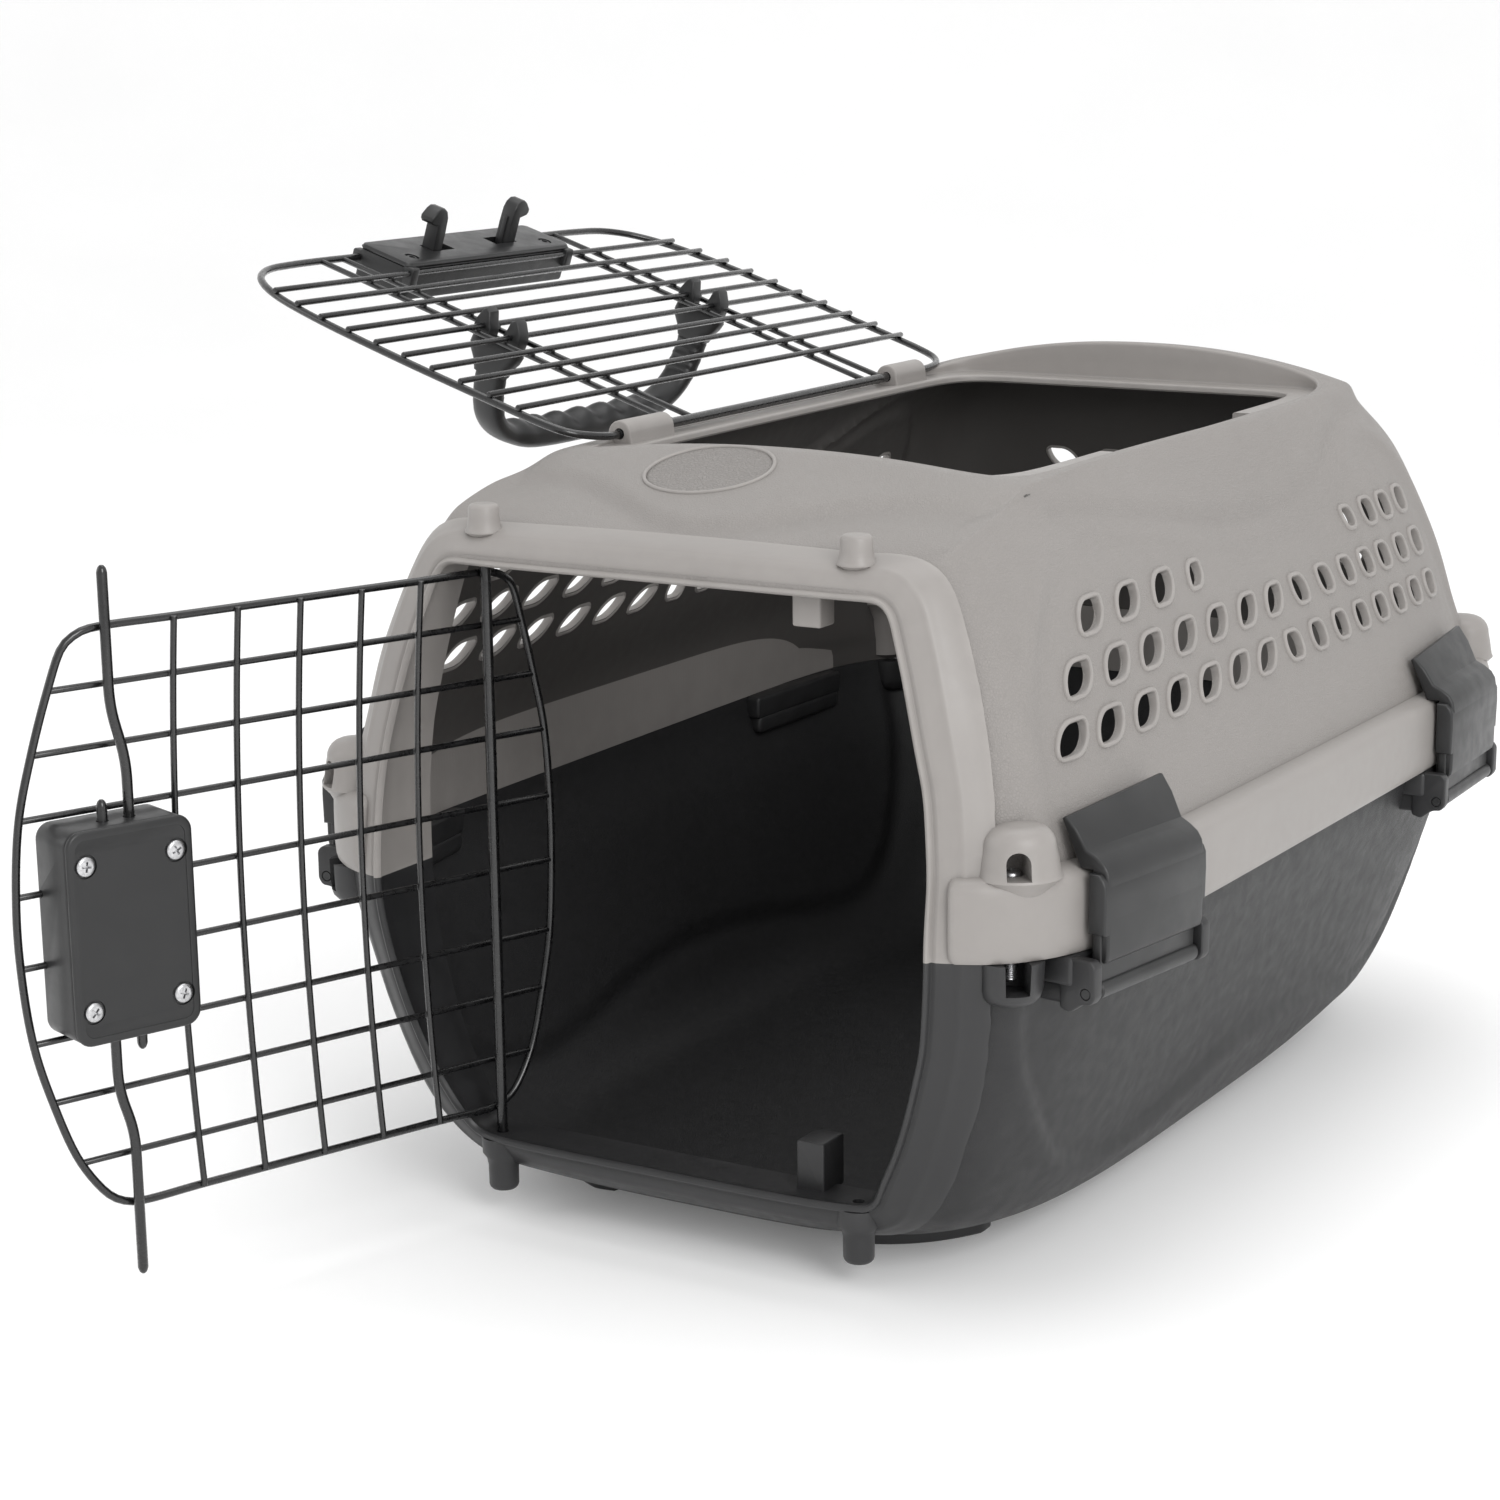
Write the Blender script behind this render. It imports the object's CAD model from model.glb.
import bpy, bmesh, math
import numpy as np
from mathutils import Vector, Matrix
from mathutils.bvhtree import BVHTree


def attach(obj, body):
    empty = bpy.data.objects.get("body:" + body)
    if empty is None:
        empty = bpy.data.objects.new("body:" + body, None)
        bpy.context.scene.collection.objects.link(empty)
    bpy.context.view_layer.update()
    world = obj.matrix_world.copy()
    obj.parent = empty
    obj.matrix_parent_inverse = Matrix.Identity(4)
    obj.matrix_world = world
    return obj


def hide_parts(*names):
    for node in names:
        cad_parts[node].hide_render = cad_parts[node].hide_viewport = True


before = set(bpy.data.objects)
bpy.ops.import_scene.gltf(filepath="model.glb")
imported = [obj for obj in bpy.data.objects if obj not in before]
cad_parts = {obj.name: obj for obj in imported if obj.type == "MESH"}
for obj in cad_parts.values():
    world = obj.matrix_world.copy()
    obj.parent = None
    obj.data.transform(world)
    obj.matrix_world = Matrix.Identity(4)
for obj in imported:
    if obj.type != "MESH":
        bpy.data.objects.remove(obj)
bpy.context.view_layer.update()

MM = 0.001

# ------------------------------------------------------------------ dimensions (mm)
WALL = 3.0
Z_PART, Z_FLANGE = 163.0, 198.0
FL_A, FL_F, FL_R, FL_N = 208.0, 302.0, 307.0, 6.5
ZN = [6.0, 30.0, 70.0, 115.0, 163.0, 199.0, 235.0, 273.0, 311.0, 335.0, 350.0, 380.0]
AN = [140.0, 159.0, 174.0, 188.0, 200.5, 198.5, 184.0, 167.5, 149.0, 132.0, 120.5, 97.0]
FN = [234.0, 274.0, 290.0, 299.0, 303.0, 299.0, 293.0, 286.0, 278.5, 273.0, 269.0, 255.0]
RN = [232.0, 258.0, 275.0, 289.0, 298.0, 298.5, 294.5, 288.5, 281.0, 274.0, 266.0, 246.0]
NN = [3.6, 5.0, 5.8, 5.8, 5.8, 6.0, 7.0, 8.5, 9.0, 9.5, 9.8, 10.0]
TAPER, WAIST = 0.022, 8.0
YR = [-320.0, -290.0, -272.0, -250.0, -205.0, -165.0, -80.0, 60.0, 180.0, 226.0, 250.0, 272.0, 320.0]
ZR = [316.0, 320.0, 323.5, 330.5, 344.5, 354.5, 357.5, 359.5, 363.0, 365.0, 359.0, 346.0, 300.0]
CR = [1.0, 1.5, 2.0, 3.0, 5.5, 8.0, 9.5, 11.5, 13.5, 14.0, 13.0, 9.0, 6.0]
DOOR_Z0, DOOR_Z1 = 40.0, 309.0
DOOR_HW = [(111.5, 53.0), (121.8, 74.0), (131.2, 101.0), (137.8, 128.0), (141.0, 163.0), (141.0, 190.0),
           (137.8, 225.0), (131.3, 252.0), (123.6, 279.0), (117.4, 297.0)]
LIP_Y = -252.0
PEG_X, PEG_Y, PEG_R = 95.0, -267.4, 7.0
PEG_TOP, PEG_BOT = 335.4, 12.1
F_OPEN = 110.0
F_ROD_R, F_WIRE_R, F_PER_R = 2.5, 1.45, 1.8
F_BOW, F_ZC, F_ZH = 12.0, 177.3, 126.2
F_HW = [(106.8, 57.5), (117.8, 74.0), (127.0, 101.0), (133.4, 128.0), (136.4, 163.0), (136.4, 190.0),
        (133.4, 225.0), (127.0, 252.0), (119.0, 279.0), (112.8, 296.0)]
F_H = [73.2, 101.5, 128.2, 161.5, 192.5, 225.0, 252.3, 278.8]
F_V = [-61.8, -31.0, 0.0, 31.0, 61.8]
T_OPEN, TH_X, TH_Z = 161.6, -113.0, 349.0
T_W, T_Y0, T_Y1 = 229.0, -161.0, 223.0
T_ROD_R, T_WIRE_R, T_PER_R = 2.5, 1.5, 1.9
T_PITCH, T_FIRST = 17.6, 37.5
T_CROSS = [-77.0, -59.0, 121.0, 139.0]
REC = (-119.0, 119.5, -168.0, 229.0)
OPN = (-103.0, 105.0, -151.0, 213.0)
Z_REC = 344.5
NOTCH = (79.0, 118.2, -50.0, 113.0)
CATCH = (92.0, 129.0, -48.0, 111.0, 325.5, 329.5)
HOOK_Y = (-7.0, 70.0)
LATCH_Y, LATCH_W, LP_Z = [-214.0, 174.0], 84.0, 148.0
BOLT_XY = [(169.5, -271.0), (178.5, 269.5)]
HEAD_Z = 196.6
BOLT_R = 3.0
BOX_S, BOX_Z, BOX_O = (162.0, 220.0), (130.5, 222.5), (-13.0, 16.0)
ROD_R = 2.3
SCREW_S, SCREW_Z = 21.0, 31.4
VENT_ROWS = [
    (290.0, [(-168, 1.0), (-130, 1.0), (-91, 1.0), (-53, 0.72)], [(142, 0.66), (168, 0.9), (191, 1.0), (216, 1.0)]),
    (268.0, [(-198, 1.0), (-161, 1.0), (-125, 1.0), (-88, 1.0), (-52, 1.0), (-16, 1.0), (17, 1.0)],
     [(50, 1.0), (83, 1.0), (112, 1.0), (139, 1.0), (164, 1.0), (190, 1.0), (216, 1.0)]),
    (246.0, [(-218, 1.0), (-185, 1.0), (-150, 1.0), (-116, 1.0), (-81, 1.0), (-47, 1.0), (-14, 1.0)],
     [(20, 1.0), (51, 1.0), (81, 1.0), (109, 1.0), (136, 1.0), (162, 1.0), (188, 1.0), (214, 1.0)]),
]
VENT_W, VENT_H = 19.0, 15.5
REAR_VENTS = [(290.0, [-70, -35, 0, 35, 70]), (268.0, [-105, -70, -35, 0, 35, 70, 105]), (246.0, [-105, -70, -35, 0, 35, 70, 105])]


# ------------------------------------------------------------------ small maths
def A(*v):
    return np.array(v, float)


def pch(xs, ys, x):
    xs, ys = np.asarray(xs, float), np.asarray(ys, float)
    x = np.clip(np.asarray(x, float), xs[0], xs[-1])
    h = np.diff(xs)
    d = np.diff(ys) / h
    m = np.zeros(len(xs))
    m[0], m[-1] = d[0], d[-1]
    for i in range(1, len(xs) - 1):
        if d[i - 1] * d[i] > 0:
            w1, w2 = 2 * h[i] + h[i - 1], h[i] + 2 * h[i - 1]
            m[i] = (w1 + w2) / (w1 / d[i - 1] + w2 / d[i])
    k = np.clip(np.searchsorted(xs, x, side="right") - 1, 0, len(xs) - 2)
    t = (x - xs[k]) / h[k]
    return ((1 + 2 * t) * (1 - t) ** 2 * ys[k] + t * (1 - t) ** 2 * h[k] * m[k]
            + t * t * (3 - 2 * t) * ys[k + 1] + t * t * (t - 1) * h[k] * m[k + 1])


def sstep(a, b, x):
    t = np.clip((np.asarray(x, float) - a) / (b - a), 0, 1)
    return t * t * (3 - 2 * t)


def roof(x, y):
    return pch(YR, ZR, y) - pch(YR, CR, y) * (np.abs(x) / 110.0) ** 2.2


def shape_plan(x, y, z):
    x = x * (1.0 + TAPER * y / 300.0)
    w = WAIST * np.exp(-((y - 50.0) / 95.0) ** 2) * np.exp(-((z - 312.0) / 26.0) ** 2)
    return x - np.copysign(w * np.minimum(1.0, np.abs(x) / 100.0), x)


def plan(chi, z, off=0.0, dims=None):
    # chi: direction measured in the plan scaled to a square, so that corners sit at odd multiples of 45 degrees
    z = np.asarray(z, float)
    if dims is None:
        a, f, r, n = pch(ZN, AN, z), pch(ZN, FN, z), pch(ZN, RN, z), pch(ZN, NN, z)
    else:
        a, f, r, n = [np.full(z.shape, float(k)) for k in dims]
    a, f, r = a + off, f + off, r + off
    b, yc = (f + r) / 2, (r - f) / 2
    c, s = np.cos(chi), np.sin(chi)
    k = (np.abs(c) ** n + np.abs(s) ** n) ** (-1.0 / n)
    x, y = a * k * c, yc + b * k * s
    return shape_plan(x, y, z), y


def even_chi(count, z=215.0, dims=None):
    t = np.linspace(0, 2 * math.pi, 20001)
    x, y = plan(t, np.full(t.shape, z), 0.0, dims)
    L = np.concatenate([[0], np.cumsum(np.hypot(np.diff(x), np.diff(y)))])
    return np.interp(np.arange(count) * L[-1] / count, L, t)


def resample(p, n=None, step=None, closed=False):
    p = np.asarray(p, float)
    if closed:
        p = np.vstack([p, p[:1]])
    L = np.concatenate([[0], np.cumsum(np.linalg.norm(np.diff(p, axis=0), axis=1))])
    if n is None:
        n = max(2, int(round(L[-1] / step)) + (0 if closed else 1))
    t = np.arange(n) * L[-1] / n if closed else np.linspace(0, L[-1], n)
    return np.stack([np.interp(t, L, p[:, k]) for k in range(p.shape[1])], 1)


def catmull(p, sub=8, closed=False):
    p = np.asarray(p, float)
    n = len(p)
    out = []
    for i in range(n if closed else n - 1):
        if closed:
            q = [p[(i + k) % n] for k in (-1, 0, 1, 2)]
        else:
            q = [p[max(0, i - 1)], p[i], p[i + 1], p[min(n - 1, i + 2)]]
        # centripetal form, so that unevenly spaced points give no overshoot
        t = [0.0]
        for k in range(3):
            t.append(t[-1] + max(1e-6, np.linalg.norm(q[k + 1] - q[k])) ** 0.5)
        for u in np.linspace(t[1], t[2], sub, endpoint=False):
            a1 = (t[1] - u) / (t[1] - t[0]) * q[0] + (u - t[0]) / (t[1] - t[0]) * q[1]
            a2 = (t[2] - u) / (t[2] - t[1]) * q[1] + (u - t[1]) / (t[2] - t[1]) * q[2]
            a3 = (t[3] - u) / (t[3] - t[2]) * q[2] + (u - t[2]) / (t[3] - t[2]) * q[3]
            b1 = (t[2] - u) / (t[2] - t[0]) * a1 + (u - t[0]) / (t[2] - t[0]) * a2
            b2 = (t[3] - u) / (t[3] - t[1]) * a2 + (u - t[1]) / (t[3] - t[1]) * a3
            out.append((t[2] - u) / (t[2] - t[1]) * b1 + (u - t[1]) / (t[2] - t[1]) * b2)
    if not closed:
        out.append(p[-1])
    return np.array(out)


# ------------------------------------------------------------------ mesh helpers
def make(name, verts, faces, mats=(), midx=None, smooth=True, angle=35.0):
    me = bpy.data.meshes.new(name)
    me.from_pydata((np.asarray(verts, float) * MM).tolist(), [], faces)
    me.update()
    o = bpy.data.objects.new(name, me)
    bpy.context.scene.collection.objects.link(o)
    for m in mats:
        me.materials.append(m)
    if midx is not None:
        me.polygons.foreach_set("material_index", np.asarray(midx, np.int32))
    finish_shading(o, smooth, angle)
    return o


def finish_shading(o, smooth=True, angle=35.0):
    me = o.data
    me.polygons.foreach_set("use_smooth", [smooth] * len(me.polygons))
    if smooth and angle < 180:
        bm = bmesh.new()
        bm.from_mesh(me)
        lim = math.radians(angle)
        for e in bm.edges:
            e.smooth = not (len(e.link_faces) == 2 and e.calc_face_angle(0) > lim)
        bm.to_mesh(me)
        bm.free()
    me.update()


def grid_faces(n, m, cu=False, cv=False, flip=False, base=0):
    # n rows of m points
    i = np.arange(n if cu else n - 1)
    j = np.arange(m if cv else m - 1)
    I, J = np.meshgrid(i, j, indexing="ij")
    I2, J2 = (I + 1) % n, (J + 1) % m
    f = np.stack([I * m + J, I * m + J2, I2 * m + J2, I2 * m + J], -1).reshape(-1, 4) + base
    if flip:
        f = f[:, ::-1]
    return f


def outward(verts, faces):
    # signed volume of a closed mesh; reverses the faces if it is negative
    v = np.asarray(verts, float)
    vol = 0.0
    for f in faces:
        for k in range(1, len(f) - 1):
            vol += np.dot(v[f[0]], np.cross(v[f[k]], v[f[k + 1]]))
        if len(faces) > 6000:
            break
    if len(faces) > 6000:
        q = np.array([f for f in faces if len(f) == 4])
        a, b, c, d = [v[q[:, k]] for k in range(4)]
        vol = np.sum(a * np.cross(b, c)) + np.sum(a * np.cross(c, d))
    return [list(f)[::-1] for f in faces] if vol < 0 else [list(f) for f in faces]


def frames(path, closed=False, up=None):
    p = np.asarray(path, float)
    if closed:
        t = np.roll(p, -1, 0) - np.roll(p, 1, 0)
    else:
        t = np.gradient(p, axis=0)
    t /= np.linalg.norm(t, axis=1)[:, None]
    n = np.zeros_like(p)
    if up is not None:
        u = np.asarray(up, float)
        n = u - t * (t @ u)[:, None] if u.ndim == 1 else u - t * np.sum(t * u, 1)[:, None]
        n /= np.linalg.norm(n, axis=1)[:, None]
    else:
        a = np.eye(3)[np.argmin(np.abs(t[0]))]
        n[0] = a - t[0] * (a @ t[0])
        n[0] /= np.linalg.norm(n[0])
        for i in range(1, len(p)):
            v = n[i - 1] - t[i] * (n[i - 1] @ t[i])
            n[i] = v / np.linalg.norm(v)
        if closed:
            # spread the remaining twist over the loop
            v = n[-1] - t[0] * (n[-1] @ t[0])
            ang = math.atan2(np.dot(np.cross(v, n[0]), t[0]), np.dot(v, n[0]))
            for i in range(len(p)):
                k = ang * i / len(p)
                n[i] = n[i] * math.cos(k) + np.cross(t[i], n[i]) * math.sin(k)
    return t, n, np.cross(t, n)


def sweep(path, prof, closed=False, up=None, scale=None, caps=True, prof_closed=True):
    # prof: list of (a, b) along normal and binormal; scale: per path point factor
    p = np.asarray(path, float)
    t, n, b = frames(p, closed, up)
    q = np.asarray(prof, float)
    s = np.ones(len(p)) if scale is None else np.asarray(scale, float)
    v = p[:, None, :] + (q[None, :, 0:1] * n[:, None, :] + q[None, :, 1:2] * b[:, None, :]) * s[:, None, None]
    N, M = len(p), len(q)
    f = grid_faces(N, M, closed, prof_closed).tolist()
    if caps and not closed and prof_closed:
        f.append(list(range(M))[::-1])
        f.append(list(range((N - 1) * M, N * M)))
    v = v.reshape(-1, 3)
    return v, outward(v, f)


def circle(r, n=14, ph=0.0):
    a = np.arange(n) * 2 * math.pi / n + ph
    return np.stack([r * np.cos(a), r * np.sin(a)], 1)


def wire(path, r, closed=False, n=14, step=4.0, ends=0.35):
    # round wire with softly rounded cut ends
    p = np.asarray(path, float)
    if not closed:
        p = resample(p, step=step) if len(p) > 2 else resample(p, n=max(2, int(np.linalg.norm(p[1] - p[0]) / 40) + 2))
        d0 = (p[1] - p[0]) / np.linalg.norm(p[1] - p[0])
        d1 = (p[-1] - p[-2]) / np.linalg.norm(p[-1] - p[-2])
        e = r * ends
        p = np.vstack([p[0], p[0] + d0 * e * 0.3, p[0] + d0 * e, p[1:-1], p[-1] - d1 * e, p[-1] - d1 * e * 0.3, p[-1]])
        sc = np.ones(len(p))
        sc[0] = sc[-1] = 1 - ends
        sc[1] = sc[-2] = 1 - ends * 0.3
        return sweep(p, circle(r, n), False, None, sc)
    return sweep(resample(p, step=step, closed=True), circle(r, n), True)


def lathe(prof, c, axis, n=40, u=None):
    # prof: (radius, height) from the bottom pole to the top pole; radius 0 at an end closes it
    c, w = np.asarray(c, float), np.asarray(axis, float)
    w = w / np.linalg.norm(w)
    a = np.eye(3)[np.argmin(np.abs(w))] if u is None else np.asarray(u, float)
    a = a - w * (a @ w)
    a /= np.linalg.norm(a)
    b = np.cross(w, a)
    th = np.arange(n) * 2 * math.pi / n
    v, rows = [], []
    for r, h in prof:
        if r < 1e-6:
            rows.append([len(v)])
            v.append(c + w * h)
        else:
            rows.append(list(range(len(v), len(v) + n)))
            v.extend(c + w * h + r * (math.cos(t) * a + math.sin(t) * b) for t in th)
    f = []
    for p, q in zip(rows[:-1], rows[1:]):
        if len(p) == 1 and len(q) > 1:
            f += [[p[0], q[(k + 1) % n], q[k]] for k in range(n)]
        elif len(q) == 1 and len(p) > 1:
            f += [[p[k], p[(k + 1) % n], q[0]] for k in range(n)]
        elif len(p) > 1:
            f += [[p[k], p[(k + 1) % n], q[(k + 1) % n], q[k]] for k in range(n)]
    if len(rows[0]) > 1:
        f.append(rows[0][::-1])
    if len(rows[-1]) > 1:
        f.append(rows[-1])
    v = np.array(v)
    return v, outward(v, f)


def rbox(x0, x1, y0, y1, z0, z1, r=1.0, seg=3, keep=None):
    # box with rounded edges
    bm = bmesh.new()
    bmesh.ops.create_cube(bm, size=1.0)
    for v in bm.verts:
        v.co = Vector(((x0 + x1) / 2 + v.co.x * (x1 - x0), (y0 + y1) / 2 + v.co.y * (y1 - y0), (z0 + z1) / 2 + v.co.z * (z1 - z0)))
    r = min(r, 0.49 * min(x1 - x0, y1 - y0, z1 - z0))
    ed = [e for e in bm.edges if keep is None or keep(e)]
    bmesh.ops.bevel(bm, geom=ed, offset=r, segments=seg, profile=0.5, affect="EDGES")
    return bm_out(bm)


def bm_out(bm):
    bm.verts.index_update()
    v = np.array([tuple(k.co) for k in bm.verts], float)
    f = [[k.index for k in p.verts] for p in bm.faces]
    bm.free()
    return v, outward(v, f)


def prism(pts, d, r=1.0, seg=3, ra=None):
    # polygon pts (3D, planar) pushed along d, with its rim edges rounded by r
    bm = bmesh.new()
    a = [bm.verts.new(Vector(p)) for p in pts]
    b = [bm.verts.new(Vector(p) + Vector(d)) for p in pts]
    n = len(pts)
    rim = []
    bm.faces.new(a[::-1])
    bm.faces.new(b)
    for i in range(n):
        bm.faces.new([a[i], a[(i + 1) % n], b[(i + 1) % n], b[i]])
    bm.normal_update()
    if ra:
        ed = [e for e in bm.edges if (e.verts[0] in a) != (e.verts[1] in a)]
        bmesh.ops.bevel(bm, geom=ed, offset=ra, segments=4, profile=0.5, affect="EDGES", clamp_overlap=True)
    if r:
        # rounded rims are the edges that lie on the two end polygons
        nd = Vector(d).normalized()
        p0 = Vector(pts[0])
        L = Vector(d).length
        ed = []
        for e in bm.edges:
            h = [(v.co - p0).dot(nd) for v in e.verts]
            if all(abs(k) < 1e-4 for k in h) or all(abs(k - L) < 1e-4 for k in h):
                ed.append(e)
        bmesh.ops.bevel(bm, geom=ed, offset=r, segments=seg, profile=0.5, affect="EDGES", clamp_overlap=True)
    return bm_out(bm)


def rrect(x0, x1, y0, y1, r, n=6):
    out = []
    for cx, cy, a0 in ((x1 - r, y0 + r, -90), (x1 - r, y1 - r, 0), (x0 + r, y1 - r, 90), (x0 + r, y0 + r, 180)):
        for k in range(n + 1):
            t = math.radians(a0 + 90.0 * k / n)
            out.append((cx + r * math.cos(t), cy + r * math.sin(t)))
    return out


def loft_rings(rings, caps=True):
    # closed rings with the same number of points
    N, M = len(rings), len(rings[0])
    v = np.array(rings, float).reshape(-1, 3)
    f = grid_faces(N, M, False, True).tolist()
    if caps:
        f.append(list(range(M))[::-1])
        f.append(list(range((N - 1) * M, N * M)))
    return v, outward(v, f)


def slab(x0, x1, y0, y1, z0, z1, r, e, n=6):
    # plate along z with corner radius r and edge rounding e on both faces
    rings = []
    for k in range(4):
        t = math.radians(90.0 * k / 3)
        o = e * (1 - math.sin(t))
        rings.append([(p[0], p[1], z0 + e * (1 - math.cos(t))) for p in rrect(x0 + o, x1 - o, y0 + o, y1 - o, max(0.3, r - o), n)])
    for k in range(4):
        t = math.radians(90.0 * k / 3)
        o = e * (1 - math.cos(t))
        rings.append([(p[0], p[1], z1 - e + e * math.sin(t)) for p in rrect(x0 + o, x1 - o, y0 + o, y1 - o, max(0.3, r - o), n)])
    return loft_rings(rings)


def cat(parts):
    v, f, k = [], [], 0
    for a, b in parts:
        a = np.asarray(a, float)
        v.append(a)
        f += [[i + k for i in q] for q in b]
        k += len(a)
    return np.vstack(v), f


def tmp(mesh, name="tmp", mats=(), smooth=True, angle=35):
    return make(name, mesh[0], mesh[1], mats, None, smooth, angle)


def boolean(o, cutters, op="DIFFERENCE", solver=None):
    if not isinstance(cutters, (list, tuple)):
        cutters = [cutters]
    for c in cutters:
        n0 = len(o.data.polygons)
        for sv in ([solver] if solver else ["MANIFOLD", "EXACT"]):
            m = o.modifiers.new("b", "BOOLEAN")
            m.operation, m.object, m.solver = op, c, sv
            dg = bpy.context.evaluated_depsgraph_get()
            me = bpy.data.meshes.new_from_object(o.evaluated_get(dg), preserve_all_data_layers=True, depsgraph=dg)
            o.modifiers.remove(m)
            ok = len(me.polygons) > 0 and (op == "UNION" or len(me.polygons) != n0 or op == "INTERSECT")
            if ok:
                break
        if ok:
            old = o.data
            o.data = me
            bpy.data.meshes.remove(old)
        else:
            bpy.data.meshes.remove(me)
            print("boolean had no effect on", o.name)
        me = c.data
        bpy.data.objects.remove(c)
        bpy.data.meshes.remove(me)
    return o


def rot(v, c, axis, deg):
    v = np.asarray(v, float)
    R = np.array(Matrix.Rotation(math.radians(deg), 3, Vector(axis)))
    return (v - np.asarray(c, float)) @ R.T + np.asarray(c, float)


def turn_f(m):
    return rot(m[0], (-PEG_X, PEG_Y, 0), (0, 0, 1), -F_OPEN), m[1]


def turn_t(m):
    return rot(m[0], (TH_X, 0, TH_Z), (0, 1, 0), -T_OPEN), m[1]


def mirror_x(m):
    v = np.array(m[0], float)
    v[:, 0] *= -1
    return v, [list(f)[::-1] for f in m[1]]


# ------------------------------------------------------------------ materials
def node_mat(name, build):
    m = bpy.data.materials.new(name)
    m.use_nodes = True
    nt = m.node_tree
    for n in list(nt.nodes):
        nt.nodes.remove(n)
    out = nt.nodes.new("ShaderNodeOutputMaterial")
    bs = nt.nodes.new("ShaderNodeBsdfPrincipled")
    nt.links.new(bs.outputs[0], out.inputs[0])
    tc = nt.nodes.new("ShaderNodeTexCoord")
    build(nt, bs, tc.outputs["Object"])
    return m


def nd(nt, kind, **kw):
    n = nt.nodes.new(kind)
    for k, v in kw.items():
        if k in n.inputs:
            n.inputs[k].default_value = v
        else:
            setattr(n, k, v)
    return n


def ramp(nt, src, stops):
    r = nt.nodes.new("ShaderNodeValToRGB")
    e = r.color_ramp.elements
    while len(e) < len(stops):
        e.new(0.5)
    for k, (p, c) in enumerate(stops):
        e[k].position = p
        e[k].color = (c, c, c, 1) if not isinstance(c, (tuple, list)) else tuple(c) + (1,)
    nt.links.new(src, r.inputs[0])
    return r


def mix_rgb(nt, fac, a, b, mode="MIX"):
    m = nt.nodes.new("ShaderNodeMix")
    m.data_type = "RGBA"
    m.blend_type = mode
    for s, v in ((m.inputs[0], fac), (m.inputs[6], a), (m.inputs[7], b)):
        if hasattr(v, "is_output"):
            nt.links.new(v, s)
        elif isinstance(v, (tuple, list)):
            s.default_value = tuple(v) + (1,)
        else:
            s.default_value = v
    return m.outputs[2]


def math_n(nt, op, a, b=None, clamp=False):
    m = nt.nodes.new("ShaderNodeMath")
    m.operation = op
    m.use_clamp = clamp
    for s, v in ((m.inputs[0], a), (m.inputs[1], b)):
        if v is None:
            continue
        if hasattr(v, "is_output"):
            nt.links.new(v, s)
        else:
            s.default_value = v
    return m.outputs[0]


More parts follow.
